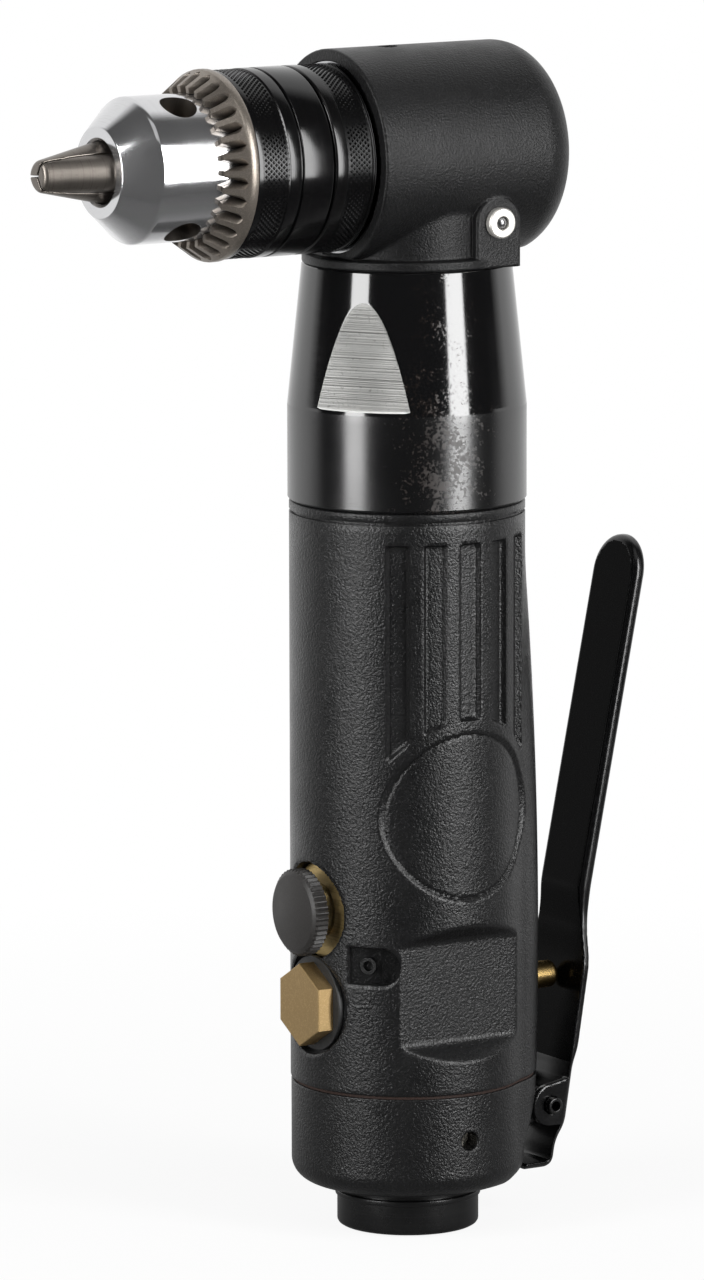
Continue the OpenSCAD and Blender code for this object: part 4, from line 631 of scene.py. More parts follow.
class Finishes:
    """The materials, each made once from the colours of the scene."""

    def __init__(self, colours):
        self.colours = colours
        self.grain = grain_group()
        self.lines = lines_group()
        self.handling = handling_group()
        self.made = {}

    def base(self, name, metallic, specular=0.5):
        """New material with a plain shader, and its tree and shader."""
        material = bpy.data.materials.new(name)
        material.use_nodes = True
        tree = material.node_tree
        shader = tree.nodes["Principled BSDF"]
        shader.inputs["Metallic"].default_value = metallic
        shader.inputs["Specular IOR Level"].default_value = specular
        self.made[name] = material
        return material, tree, shader

    def bump(self, tree, shader, height, depth):
        """Relief on the shader's normal."""
        node = put(tree, "ShaderNodeBump", {"Strength": 1.0, "Distance": depth, "Height": height})
        tree.links.new(node.outputs[0], shader.inputs["Normal"])

    def marks(self, tree, blotch=mm(9), speckle=mm(0.7)):
        """Handling marks placed in a material."""
        return group_node(tree, self.handling, {"Blotch size": blotch, "Speckle size": speckle})

    def grained(self, name, colour, fleck, size, share, rough, depth, **shading):
        """Coat with pebbled grain and bright flecks."""
        if name in self.made:
            return self.made[name]
        material, tree, shader = self.base(name, **shading)
        grain = group_node(tree, self.grain, {"Grain size": size, "Fleck share": share})
        marks = self.marks(tree)
        colour = mix_colour(tree, grain.outputs["Fleck"], tuple(colour), tuple(fleck))
        tree.links.new(colour, shader.inputs["Base Color"])
        tree.links.new(spread(tree, marks.outputs["Blotch"], *rough), shader.inputs["Roughness"])
        self.bump(tree, shader, grain.outputs["Height"], depth)
        return material

    def lined(self, name, colour, dark, spacing, along, rough, depth, **shading):
        """Metal with fine tool lines."""
        if name in self.made:
            return self.made[name]
        material, tree, shader = self.base(name, **shading)
        lines = group_node(tree, self.lines, {
            "Line spacing": spacing, "Along X": along[0], "Along Z": along[1]})
        marks = self.marks(tree)
        share = math_node(tree, "MAXIMUM",
                          math_node(tree, "MULTIPLY", lines.outputs["Mask"], 0.6),
                          math_node(tree, "MULTIPLY", marks.outputs["Speckle"], 0.5))
        tree.links.new(mix_colour(tree, share, tuple(colour), tuple(dark)), shader.inputs["Base Color"])
        tree.links.new(spread(tree, marks.outputs["Blotch"], *rough), shader.inputs["Roughness"])
        self.bump(tree, shader, lines.outputs["Height"], depth)
        return material

    def plain(self, kind):
        """Finish from one of the tables, where a colour's name stands for its setting."""
        make, row = (self.lined, LINED[kind]) if kind in LINED else (self.grained, GRAINED[kind])
        name, colour, *values, metallic, specular = row
        if isinstance(colour, str):
            colour = getattr(self.colours, colour)
        return make(name, colour, *values, metallic=metallic, specular=specular)

    def tint(self, material, attribute, colour):
        """Mixes a colour into a material by an attribute of the mesh, and gives its socket."""
        tree = material.node_tree
        base = tree.nodes["Principled BSDF"].inputs["Base Color"]
        share = put(tree, "ShaderNodeAttribute", None, attribute_name=attribute).outputs["Fac"]
        tree.links.new(mix_colour(tree, share, base.links[0].from_socket, colour), base)
        return share

    def coat(self, name="Pebbled black coat", size=mm(0.46), depth=mm(0.14), share=0.25,
             rough=(0.27, 0.36), specular=0.45):
        """Black textured coat of the castings, burnished and with a painted highlight where the mesh marks a rim.
        """
        if name in self.made:
            return self.made[name]
        material = self.grained(name, self.colours.coat, self.colours.coat_fleck, size, share,
                                rough, depth, metallic=0.0, specular=specular)
        # Burnish with a painted highlight: marked rims take a lighter colour and a lower roughness.
        bare = self.tint(material, "bare", (0.012, 0.012, 0.0125, 1))
        tree = material.node_tree
        target = tree.nodes["Principled BSDF"].inputs["Roughness"]
        smooth = put(tree, "ShaderNodeMix", {0: bare, 2: target.links[0].from_socket, 3: 0.18})
        tree.links.new(smooth.outputs[0], target)
        return material

    def fine_coat(self):
        """The same coat with the finer grain of the head."""
        return self.coat("Fine black coat", mm(0.38), mm(0.105), 0.5, (0.34, 0.44), 0.27)

    def oxide(self):
        """Glossy blackened steel with turning lines, duller low down, and a patch of brown bloom."""
        name = "Black oxide steel"
        if name in self.made:
            return self.made[name]
        material, tree, shader = self.base(name, 0.0, specular=0.9)
        lines = group_node(tree, self.lines, {"Line spacing": mm(0.22), "Along X": 0.0, "Along Z": 1.0})
        broad = self.marks(tree, mm(11), mm(3.2))
        place = tree.nodes.new("ShaderNodeTexCoord").outputs["Object"]
        parts = put(tree, "ShaderNodeSeparateXYZ", {0: place}).outputs
        side = math_node(tree, "ARCTAN2", parts[Y], parts[X])
        off = math_node(tree, "SUBTRACT", side, BLOOM_SIDE)
        near = spread(tree, math_node(tree, "ABSOLUTE", off), 1.0, 0.0, 0.1, 0.65)
        level = spread(tree, parts[Z], 1.0, 0.35, TAPER_Z - mm(4), CASE_Z1 - mm(8))
        patch = math_node(tree, "MULTIPLY", near, level)
        cloud, dots = (put(tree, "ShaderNodeTexNoise", {
            "Vector": place, "Scale": 1 / size, "Detail": detail}).outputs[0]
            for size, detail in ((mm(4), 4.0), (mm(0.55), 3.0)))
        thick = math_node(tree, "ADD", dots, math_node(tree, "MULTIPLY", cloud, 0.7))
        thick = math_node(tree, "ADD", thick, math_node(tree, "MULTIPLY", patch, 0.3))
        bloom = math_node(tree, "MULTIPLY", spread(tree, patch, 0.0, 1.0, 0.0, 0.25),
                          spread(tree, thick, 0.0, 0.8, 1.11, 1.3))
        colour = mix_colour(tree, bloom, tuple(self.colours.oxide), tuple(self.colours.oxide_rust))
        tree.links.new(colour, shader.inputs["Base Color"])
        gloss = spread(tree, parts[Z], 0.21, 0.075, TAPER_Z - mm(0.1), TAPER_Z + mm(0.1))
        rough = math_node(tree, "ADD", gloss, math_node(tree, "MULTIPLY", bloom, 0.3))
        rough = math_node(tree, "ADD", rough, math_node(tree, "MULTIPLY", broad.outputs["Blotch"], 0.03))
        tree.links.new(rough, shader.inputs["Roughness"])
        height = math_node(tree, "ADD", lines.outputs["Height"], math_node(tree, "MULTIPLY", bloom, 2.0))
        self.bump(tree, shader, height, mm(0.0035))
        return material

    def key_ring(self):
        """Matte steel of the key teeth, with painted shade low down in the notches."""
        name = "Matte key steel"
        if name in self.made:
            return self.made[name]
        material = self.grained(name, self.colours.ring, (0.33, 0.295, 0.255, 1), mm(0.35),
                                0.4, (0.32, 0.42), mm(0.02), metallic=0.85)
        # Painted shade: a dark colour mixed in where the mesh marks the notch floors.
        self.tint(material, "low_down", (0.022, 0.018, 0.015, 1))
        return material


@functools.cache
def finishes():
    """The finishes of this scene, made on first use."""
    return Finishes(bpy.context.scene.drill_colours)


# Geometry Nodes


def geometry_tree(name, **kinds):
    """Geometry tree with its inputs by kind, and their sockets by name."""
    tree = bpy.data.node_groups.new(name, "GeometryNodeTree")
    for kind, labels in kinds.items():
        for label in labels:
            tree.interface.new_socket(label, in_out="INPUT", socket_type=f"NodeSocket{kind}")
    tree.interface.new_socket("Finish", in_out="INPUT", socket_type="NodeSocketMaterial")
    tree.interface.new_socket("Geometry", in_out="OUTPUT", socket_type="NodeSocketGeometry")
    return tree, tree.nodes.new("NodeGroupInput").outputs


def end_tree(tree, geometry, finish):
    """Gives the geometry of a tree its finish and puts it out."""
    done = put(tree, "GeometryNodeSetMaterial", {"Geometry": geometry, "Material": finish})
    put(tree, "NodeGroupOutput", {0: done.outputs[0]})
    return tree


@functools.cache
def rings():
    """Tree that repeats its geometry in rings about an axis along X, made on first use."""
    tree, given = geometry_tree(
        "Rings of copies", Geometry=["Geometry"], Int=["Copies in a ring", "Rings"],
        Float=["Ring spacing", "Turn of each ring", "Axis height"])
    index = tree.nodes.new("GeometryNodeInputIndex").outputs[0]
    copies = given["Copies in a ring"]
    ring = math_node(tree, "FLOOR", math_node(tree, "DIVIDE", index, copies))
    turn = math_node(tree, "DIVIDE", math_node(tree, "MULTIPLY", index, 2 * math.pi), copies)
    turn = math_node(tree, "ADD", turn, math_node(tree, "MULTIPLY", ring, given["Turn of each ring"]))
    start = put(tree, "ShaderNodeCombineXYZ", {"Z": given["Axis height"]}).outputs[0]
    line = put(tree, "GeometryNodeMeshLine", {
        "Count": math_node(tree, "MULTIPLY", copies, given["Rings"]),
        "Start Location": start, "Offset": (0, 0, 0)})
    move = put(tree, "ShaderNodeCombineXYZ", {
        "X": math_node(tree, "MULTIPLY", ring, given["Ring spacing"])}).outputs[0]
    points = put(tree, "GeometryNodeSetPosition", {"Geometry": line.outputs[0], "Offset": move})
    spin = put(tree, "ShaderNodeCombineXYZ", {"X": turn}).outputs[0]
    copy = put(tree, "GeometryNodeInstanceOnPoints", {
        "Points": points.outputs[0], "Instance": given["Geometry"], "Rotation": spin})
    real = put(tree, "GeometryNodeRealizeInstances", {"Geometry": copy.outputs[0]})
    joined = put(tree, "GeometryNodeMergeByDistance", {
        "Geometry": real.outputs[0], "Distance": mm(0.001)})
    return end_tree(tree, joined.outputs[0], given["Finish"])


def coil_tree():
    """Tree that winds a wire into a spring along X."""
    tree, given = geometry_tree(
        "Wound spring", Float=["Turns", "Coil radius", "Length", "Wire radius"], Vector=["Start"])
    spiral = put(tree, "GeometryNodeCurveSpiral", {
        "Resolution": 32, "Rotations": given["Turns"], "Start Radius": given["Coil radius"],
        "End Radius": given["Coil radius"], "Height": given["Length"]})
    wire = put(tree, "GeometryNodeCurvePrimitiveCircle", {
        "Resolution": 12, "Radius": given["Wire radius"]})
    tube = put(tree, "GeometryNodeCurveToMesh", {
        "Curve": spiral.outputs[0], "Profile Curve": wire.outputs[0], "Fill Caps": True})
    laid = put(tree, "GeometryNodeTransform", {
        "Geometry": tube.outputs[0], "Translation": given["Start"],
        "Rotation": (0, math.pi / 2, 0)})
    real = put(tree, "GeometryNodeRealizeInstances", {"Geometry": laid.outputs[0]})
    return end_tree(tree, real.outputs[0], given["Finish"])


def grown(name, mesh, tree, values, sharp=35.0):
    """Plain mesh that a tree makes from a mesh and named values."""
    obj = scratch_object(name, mesh)
    modifier = obj.modifiers.new("Grow", "NODES")
    modifier.node_group = tree
    for item in tree.interface.items_tree:
        if item.in_out == "INPUT" and item.name in values:
            modifier[item.identifier] = values[item.name]
    result = plain_mesh(obj)
    bpy.data.objects.remove(obj)
    result.name = name
    shade(result, sharp)
    return result


def ringed(name, start, finish, height, copies, sharp, rows=1, spacing=0.0, turn=0.0):
    """Mesh repeated in rings about an axis along X at a height."""
    return grown(name, start, rings(), {
        "Copies in a ring": copies, "Rings": rows, "Ring spacing": spacing,
        "Turn of each ring": turn, "Axis height": height, "Finish": finish}, sharp)


def ring_share(name, columns):
    """Open mesh over columns, as one share of a ring."""
    points, faces = skin(columns, around=False)
    mesh = bpy.data.meshes.new(name)
    mesh.from_pydata(points.tolist(), [], [f[::-1] for f in faces])
    return mesh


# Handle, with the sizes that the frame doesn't give


SWELL_R = mm(16.5)
SWELL_Z = mm(50)
SWELL_BOW = mm(785)
SEAM_Z = HOUSING_Z1 - mm(2)
SEAM_SIZE = mm(0.5)
PLUG_SEAT_R = high("plug_washer", Y) + mm(0.6)
PLUG_SEAT_X = high("plug_washer", X)
REVERSE_SEAT_R = high("reverse_bush", Y) + mm(0.3)
REVERSE_SEAT_X = low("reverse_bush", X) + mm(1.6)
POCKET_ANGLE = math.radians(-143)
POCKET_Z = middle("pocket_pin", Z)
POCKET_WIDTH = mm(6.5)
POCKET_RUN = mm(2.8)
POCKET_DEPTH = mm(2.2)
INLET_TUBE_R = mm(9.02)
LUG_HALF = mm(6.55)
LUG_X0, LUG_INNER_X = mm(17), mm(12)
LUG_ROOT, LUG_TIP = mm(4.7), mm(2.35)
LUG_BORE_R = mm(1.52)
VENT_CIRCLE_R = mm(14.6)
VENT_R = mm(1.3)
CAP_HOLE_Z = mm(18)
CAP_HOLE_R = mm(1.6)


def swell_centre(z):
    """Centre of the swelling's round outline at a height."""
    return SWELL_REACH - SWELL_R - (SWELL_BOW - np.sqrt(SWELL_BOW ** 2 - (z - SWELL_Z) ** 2))


def swell_radius(angle, z):
    """Distance from the handle axis to the swelling."""
    centre = swell_centre(z)
    inside = np.maximum(SWELL_R ** 2 - (centre * np.sin(angle)) ** 2, 0)
    return centre * np.cos(angle) + np.sqrt(inside)


def lip(distance, fillet):
    """Drop of a surface that rounds over into a cut, at a distance from the cut."""
    t = np.clip(1 - distance / fillet, 0, 1)
    return fillet * (1 - np.sqrt(1 - t * t))


def pocket_distance(across, up):
    """Distance from the outline of the pin pocket, flat at one end and round at the other."""
    half = POCKET_WIDTH / 2
    flat = np.maximum(np.abs(up) - half, -half - across)
    return np.where(across > POCKET_RUN, np.hypot(across - POCKET_RUN, up) - half, flat)


def grip_radius(sizes, angle, z):
    """Radius of the grip at an angle about the handle and a height."""
    radius = soft_max(HANDLE_R, swell_radius(angle, z), mm(0.5))
    side = np.where(np.sin(angle) < 0, angle + math.pi / 2, angle - math.pi / 2)
    side = (side + math.pi) % (2 * math.pi) - math.pi
    across = HANDLE_R * np.sin(side)
    badge = np.hypot(across, z - sizes.badge_height) - sizes.badge_radius
    drop = sizes.badge_depth * ease(0.25 - badge / mm(0.5))
    drop = np.maximum(drop, (sizes.badge_depth + mm(0.22)) * ease(1 - np.abs(badge) / mm(0.75)))
    top, clear = SEAM_Z - mm(3.4), sizes.badge_radius + mm(2.75)
    away = np.hypot(across, z - sizes.badge_height)
    for i in range(sizes.groove_count):
        turn = (i - (sizes.groove_count - 1) / 2) * sizes.groove_step
        groove = np.abs(HANDLE_R * np.sin(side - turn)) - sizes.groove_width / 2
        ends = np.maximum(z - top, np.maximum(clear - away, sizes.badge_height - z))
        groove = both(groove, ends, mm(0.6))
        drop = np.maximum(drop, sizes.groove_depth * ease(0.25 - groove / sizes.groove_soft))
    radius = radius - drop
    beyond = np.abs(z - sizes.pad_height) - sizes.pad_length / 2
    ramp = soft_max(beyond, 0 * beyond, mm(0.6)) * sizes.pad_depth / mm(2.9)
    pad = (HANDLE_R - sizes.pad_depth + ramp) / np.maximum(np.cos(side), 0.2)
    radius = soft_min(radius, pad, mm(0.35))
    wide = HANDLE_R * np.sin(angle)
    seats = np.minimum(np.hypot(wide, z - THROTTLE_Z) - PLUG_SEAT_R,
                       np.hypot(wide, z - REVERSE_Z) - REVERSE_SEAT_R)
    radius = radius - np.where(np.cos(angle) < 0, lip(seats, mm(0.45)), 0)
    apart = (angle - POCKET_ANGLE + math.pi) % (2 * math.pi) - math.pi
    pocket = pocket_distance(HANDLE_R * np.sin(apart), z - POCKET_Z)
    return radius - np.where(np.abs(apart) < 1, lip(pocket, mm(0.45)), 0)


def spaced(spans):
    """Values over spans of (start, end, step), each span without its end."""
    return np.concatenate([np.linspace(a, b, max(round((b - a) / step), 1), endpoint=False)
                           for a, b, step in spans])


def housing_mesh(sizes):
    """Motor housing before its valve seats are cut."""
    side, plain = math.radians(0.85), math.radians(1.5)
    wide = math.radians(54)
    turns = []
    for centre in (math.pi / 2, math.pi * 3 / 2):
        turns += list(spaced([(centre - wide, centre + wide, side),
                              (centre + wide, centre + math.pi - wide, plain)]))
    angle = np.array(turns)[:, None]
    edge = mm(0.3)
    turn = np.radians([0, 30, 60, 90])
    bottom = [(HOUSING_Z0 + edge * (1 - math.cos(a)), edge * (1 - math.sin(a))) for a in turn]
    fine, coarse = mm(0.36), mm(1.3)
    heights = spaced([(HOUSING_Z0 + edge, mm(30), mm(0.7)), (mm(30), mm(107.5), fine),
                      (mm(107.5), mm(118), coarse), (mm(118), mm(123.6), fine),
                      (mm(123.6), SEAM_Z - mm(0.1), coarse)])
    rows = bottom + [(z, 0.0) for z in heights[1:]] + [(SEAM_Z - mm(0.1), 0.0)]
    rows += [(SEAM_Z, mm(0.08)), (SEAM_Z + mm(0.03), SEAM_SIZE)]
    rows += [(SEAM_Z + SEAM_SIZE - mm(0.03), SEAM_SIZE), (SEAM_Z + SEAM_SIZE, mm(0.08))]
    rows += [(SEAM_Z + SEAM_SIZE + mm(0.1), 0.0), (HOUSING_Z1 - edge, 0.0)]
    rows += [(HOUSING_Z1 - edge * (1 - math.cos(a)), edge * (1 - math.sin(a))) for a in turn[:-1][::-1]]
    z = np.array([r[0] for r in rows])[None, :]
    radius = grip_radius(sizes, angle, z) - np.array([r[1] for r in rows])[None, :]
    before = [(0.0, BUSH_TOP_Z), (INLET_TUBE_R, BUSH_TOP_Z), (INLET_TUBE_R, HOUSING_Z0)]
    after = [(MOTOR_BORE_R, HOUSING_Z1), (MOTOR_BORE_R, BLOCK_Z1), (0.0, BLOCK_Z1)]
    full = np.concatenate([np.tile([p[0] for p in before], (len(angle), 1)), radius,
                           np.tile([p[0] for p in after], (len(angle), 1))], axis=1)
    heights = np.array([p[1] for p in before] + list(z[0]) + [p[1] for p in after])
    columns = np.stack([full * np.cos(angle), full * np.sin(angle),
                        np.broadcast_to(heights, full.shape)], -1)
    mesh = dressed(mesh_of("Motor housing", *skin(columns), sharp=40), finishes().coat())
    # Rims of the valve seats are marked for burnish with a painted highlight in the coat.
    places = np.array([v.co for v in mesh.vertices])
    seats = np.minimum(np.hypot(places[:, Y], places[:, Z] - THROTTLE_Z) - PLUG_SEAT_R,
                       np.hypot(places[:, Y], places[:, Z] - REVERSE_Z) - REVERSE_SEAT_R)
    bare = np.where(places[:, X] < 0, np.clip(1.3 - np.abs(seats) / mm(0.45), 0, 1), 0)
    mesh.attributes.new("bare", "FLOAT", "POINT").data.foreach_set("value", bare.astype(np.float32))
    return mesh


def bore_cutter(stations, height):
    """Stepped cutter along X at a height, from (x, radius) stations."""
    outline = [(0.0, stations[0][0])]
    for (x0, r0), (x1, _) in zip(stations, stations[1:]):
        outline += [(r0, x0), (r0, x1)]
    outline.append((0.0, stations[-1][0]))
    return dressed(mesh_of("cutter", *lathe(outline, X, (0, 0, height), 96)), finishes().plain("seat"))


def pocket_cutter():
    """Cutter of the pin pocket, with its round and flat ends."""
    half = POCKET_WIDTH / 2
    outline = [(-half, half), (-half, -half)]
    outline += [(POCKET_RUN + half * math.sin(a), -half * math.cos(a))
                for a in np.linspace(0, math.pi, 24)]
    top, deep, tilt = HANDLE_R + mm(3), HANDLE_R - POCKET_DEPTH + mm(0.1), math.tan(math.radians(18))
    columns = []
    for across, up in outline:
        columns.append([(deep, 0, 0), (deep - across * tilt, across, up), (top, across, up),
                        (top, 0, 0)])
    turn = np.array(Matrix.Rotation(POCKET_ANGLE, 3, "Z"))
    points, faces = skin(columns)
    mesh = mesh_of("cutter", points @ turn.T + np.array([0, 0, POCKET_Z]), faces)
    return dressed(mesh, finishes().coat())


class DRILL_OT_housing(bpy.types.Operator):
    """Motor housing with its grooves, badge recess, side pads, pocket and valve seats"""
    bl_idname = "drill.housing"
    bl_label = "Motor housing"

    def execute(self, context):
        """Makes the housing and cuts its seats."""
        stem = high("valve_stem", Y) + mm(0.9)
        throttle = bore_cutter([
            (-HANDLE_R - mm(2), PLUG_SEAT_R), (PLUG_SEAT_X, mm(5.65)),
            (low("valve_plug", X) + mm(13.8), mm(5)), (high("valve_seal", X), stem),
            (low("throttle_bush", X), high("throttle_bush", Y)),
            (SWELL_REACH + mm(2), 0)], THROTTLE_Z)
        reverse = bore_cutter([
            (-HANDLE_R - mm(2), REVERSE_SEAT_R), (REVERSE_SEAT_X, mm(6.42)),
            (high("reverse_bush", X), 0)], REVERSE_Z)
        mesh = carve(housing_mesh(context.scene.drill_grip), [throttle, reverse, pocket_cutter()], 40)
        add_piece("Motor housing", mesh, "housing", nodes=["motor_housing"])
        return {"FINISHED"}


def cap_field(x, y, z):
    """Distance field of the end cap with its lever lug."""
    q = np.hypot(x, y)
    swell = np.hypot(x - swell_centre(z), y) - SWELL_R
    lean = math.radians(33)
    slope = (x - HANDLE_R) * math.cos(lean) - (z - CAP_Z0 - mm(13.3)) * math.sin(lean)
    body = either(q - CAP_R + mm(0.02), both(swell, slope, mm(1.5)), mm(0.6))
    body = both(body, CAP_Z0 - z, mm(4))
    taper = LUG_ROOT + (x - LUG_X0) * (LUG_TIP - LUG_ROOT) / (PIVOT_X - LUG_X0)
    arm = np.maximum(np.abs(z - PIVOT_Z) - taper, np.maximum(x - PIVOT_X, LUG_INNER_X - x)) * 0.96
    arm = np.minimum(arm, np.hypot(x - PIVOT_X, z - PIVOT_Z) - LUG_TIP)
    lug = both(arm, np.abs(y) - LUG_HALF, mm(0.5))
    body = either(body, lug, mm(0.7))
    body = both(body, z - CAP_Z1, mm(0.15))
    body = np.maximum(body, -np.maximum(q - CAP_BORE_R, CAP_FLOOR_Z - z))
    body = np.maximum(body, INLET_TUBE_R - q)
    angle = (np.arctan2(y, x) + math.pi / 10) % (math.pi / 5) - math.pi / 10
    vent = np.hypot(q * np.cos(angle) - VENT_CIRCLE_R, q * np.sin(angle)) - VENT_R
    body = both(body, -np.maximum(vent, z - CAP_FLOOR_Z - mm(1)), mm(0.3))
    hole = np.maximum(np.hypot(x, z - CAP_HOLE_Z) - CAP_HOLE_R, y)
    body = both(body, -hole, mm(0.3))
    return np.maximum(body, -(np.hypot(x - PIVOT_X, z - PIVOT_Z) - LUG_BORE_R))


class DRILL_OT_end_cap(bpy.types.Operator):
    """End cap with its vents and lever lug, the gasket above it and the felt inside it"""
    bl_idname = "drill.end_cap"
    bl_label = "End cap"

    def execute(self, context):
        """Makes the cap, the gasket and the felt."""
        margin = mm(0.8)
        mesh = field_mesh("End cap", cap_field, (-CAP_R - margin, -CAP_R - margin, CAP_Z0 - margin),
                          (high("end_cap", X) + margin, CAP_R + margin, CAP_Z1 + margin), mm(0.36))
        add_piece("End cap", mesh, "housing", finishes().coat(), ["end_cap"])
        angle = np.linspace(0, 2 * math.pi, 192, endpoint=False)
        z0, z1 = low("cap_gasket", Z), high("cap_gasket", Z)
        outer = soft_max(CAP_R, swell_radius(angle, z0), mm(0.5)) - mm(0.45)
        inner = np.full_like(outer, CAP_BORE_R)
        radius = np.stack([inner, outer, outer, inner, inner], -1)
        height = np.broadcast_to([z0, z0, z1, z1, z0], radius.shape)
        turn = angle[:, None]
        columns = np.stack([radius * np.cos(turn), radius * np.sin(turn), height], -1)
        add_piece("Cap gasket", mesh_of("Cap gasket", *skin(columns)), "housing",
                  finishes().plain("gasket"), ["cap_gasket"])
        z0, z1, soft = low("muffler", Z), high("muffler", Z), mm(1.2)
        wall, tube, seam = CAP_BORE_R - mm(0.05), mm(9.2), mm(13)
        outline = rounded([(seam, z0, 0), (wall, z0, soft), (wall, z1, soft), (tube, z1, soft),
                           (tube, z0, soft), (seam, z0, 0)], 6)
        turned("Felt muffler", outline, Z, (0, 0, 0), 96, finishes().plain("felt"), "muffler")
        return {"FINISHED"}


class DRILL_OT_inlet(bpy.types.Operator):
    """Air inlet bush with its thread"""
    bl_idname = "drill.inlet"
    bl_label = "Inlet bush"

    def execute(self, context):
        """Turns the bush, with the thread as a row of grooves."""
        bore, pitch, floor = mm(5.9), mm(1.41), mm(12)
        ring, edge = high("inlet_bush", Y), mm(0.35)
        corners = [(0, floor, 0), (bore, floor, 0)]
        for i in range(6):
            base = floor - mm(1.5) - i * pitch
            corners += [(bore, base, 0), (bore + mm(0.7), base - pitch * 0.45, 0),
                        (bore, base - pitch * 0.9, 0)]
        corners += [(bore, mm(1), 0), (bore + mm(1), 0, mm(0.15)), (ring - edge, 0, mm(0.8)),
                    (ring - edge, mm(5.2), 0), (ring, mm(5.25), mm(0.2)), (ring, mm(6.2), mm(0.2)),
                    (ring - mm(0.7), mm(6.25), 0), (ring - mm(0.7), CAP_Z0, 0), (mm(9), CAP_Z0, 0),
                    (mm(9), BUSH_TOP_Z, 0), (mm(4), BUSH_TOP_Z, 0), (mm(4), floor + mm(0.9), 0),
                    (0, floor + mm(0.9), 0)]
        turned("Inlet bush", rounded(corners), Z, (0, 0, 0), 128,
               finishes().plain("bush"), "inlet_bush")
        return {"FINISHED"}


# Gear case and head, with the sizes that the frame doesn't give


TAPER_Z = HOUSING_Z1 + mm(16.9)
CASE_TOP_R = FLANGE_R + mm(0.02)
FLAT_DISTANCE = CASE_R - mm(2)
FLAT_Z = TAPER_Z + mm(0.8)
FLAT_ANGLES = (math.radians(-145.6), math.radians(34.4))
BLOOM_SIDE = math.radians(-103)


def case_radius(z):
    """Radius of the gear case at a height."""
    return CASE_R - (CASE_R - CASE_TOP_R) * np.clip((z - TAPER_Z) / (CASE_Z1 - TAPER_Z), 0, 1)


class DRILL_OT_gear_case(bpy.types.Operator):
    """Gear case with its taper and two milled spanner flats"""
    bl_idname = "drill.gear_case"
    bl_label = "Gear case"

    def execute(self, context):
        """Makes the case from upright columns that bend at the flats."""
        reach = math.acos(FLAT_DISTANCE / float(case_radius(FLAT_Z)))
        rise = (CASE_Z1 - TAPER_Z) / (CASE_R - CASE_TOP_R)
        angles = []
        for i, centre in enumerate(FLAT_ANGLES):
            ahead = FLAT_ANGLES[(i + 1) % 2] + (2 * math.pi if i else 0)
            angles += list(centre + np.linspace(-reach, reach, 49))
            angles += list(np.linspace(centre + reach, ahead - reach, 64)[1:-1])
        bore, spigot, edge = mm(12), MOTOR_BORE_R - mm(0.05), mm(0.6)
        spigot_z = low("gear_case", Z)
        columns = []
        for angle in angles:
            off = min(abs((angle - c + math.pi) % (2 * math.pi) - math.pi) for c in FLAT_ANGLES)
            flat = FLAT_DISTANCE / math.cos(off) if off < reach else float(case_radius(FLAT_Z))
            flat = min(flat, float(case_radius(FLAT_Z)))
            crease = TAPER_Z + (CASE_R - flat) * rise
            points = [(bore, spigot_z), (spigot, spigot_z), (spigot, HOUSING_Z1),
                      (CASE_R - edge, HOUSING_Z1)]
            points += [(CASE_R, HOUSING_Z1 + edge)]
            points += [(CASE_R, z) for z in np.linspace(HOUSING_Z1 + edge, TAPER_Z, 12)[1:]]
            ledge = float(case_radius(FLAT_Z))
            cut = min(mm(0.2), (ledge - flat) / 2)
            points += [(float(case_radius(FLAT_Z - cut)), FLAT_Z - cut), (ledge - cut, FLAT_Z),
                       (flat, FLAT_Z)]
            points += [(flat, z) for z in np.linspace(FLAT_Z, crease, 14)[1:]]
            points += [(float(case_radius(z)), z)
                       for z in np.linspace(crease, CASE_Z1 - mm(0.3), 14)[1:]]
            points += [(CASE_TOP_R - mm(0.3), CASE_Z1), (bore, CASE_Z1), (bore, spigot_z)]
            columns.append([(r * math.cos(angle), r * math.sin(angle), z) for r, z in points])
        mesh = dressed(mesh_of("Gear case", *skin(columns), sharp=20),
                       finishes().oxide(), finishes().plain("milled"), finishes().plain("bright_edge"))
        for face in mesh.polygons:
            for centre in FLAT_ANGLES:
                along = Vector((math.cos(centre), math.sin(centre), 0))
                flat_face = face.normal.dot(along) > 0.9995 and face.center.z > FLAT_Z
                # The ledge under each flat takes the cut edge finish: bare steel with a painted highlight.
                ledge_face = face.normal.z > 0.4 and abs(face.center.z - FLAT_Z) < mm(0.15)
                if flat_face:
                    face.material_index = 1
                elif ledge_face:
                    face.material_index = 2
        add_piece("Gear case", mesh, "housing", nodes=["gear_case"])
        return {"FINISHED"}


RIM_X = RETAINER_X0 - mm(0.3)
FLANGE_Z1 = CASE_Z1 + mm(1.7)
NECK_R = mm(16.3)
BOSS_X = middle("grease_nipple", X)
BOSS_Z = middle("grease_nipple", Z)
BOSS_R = mm(4.5)
BOSS_Y = low("grease_nipple", Y) + mm(1.3)
SCREW_X = middle("head_set_screw", X)
SCREW_HOLE_R = mm(1.75)
NIPPLE_BORE_R = mm(2.2)
SHAFT_BORE_R = mm(7.5)
HEAD_BORES = ((mm(14), mm(-7.6)), (mm(13.26), mm(11.75)), (mm(10), mm(17.75)))


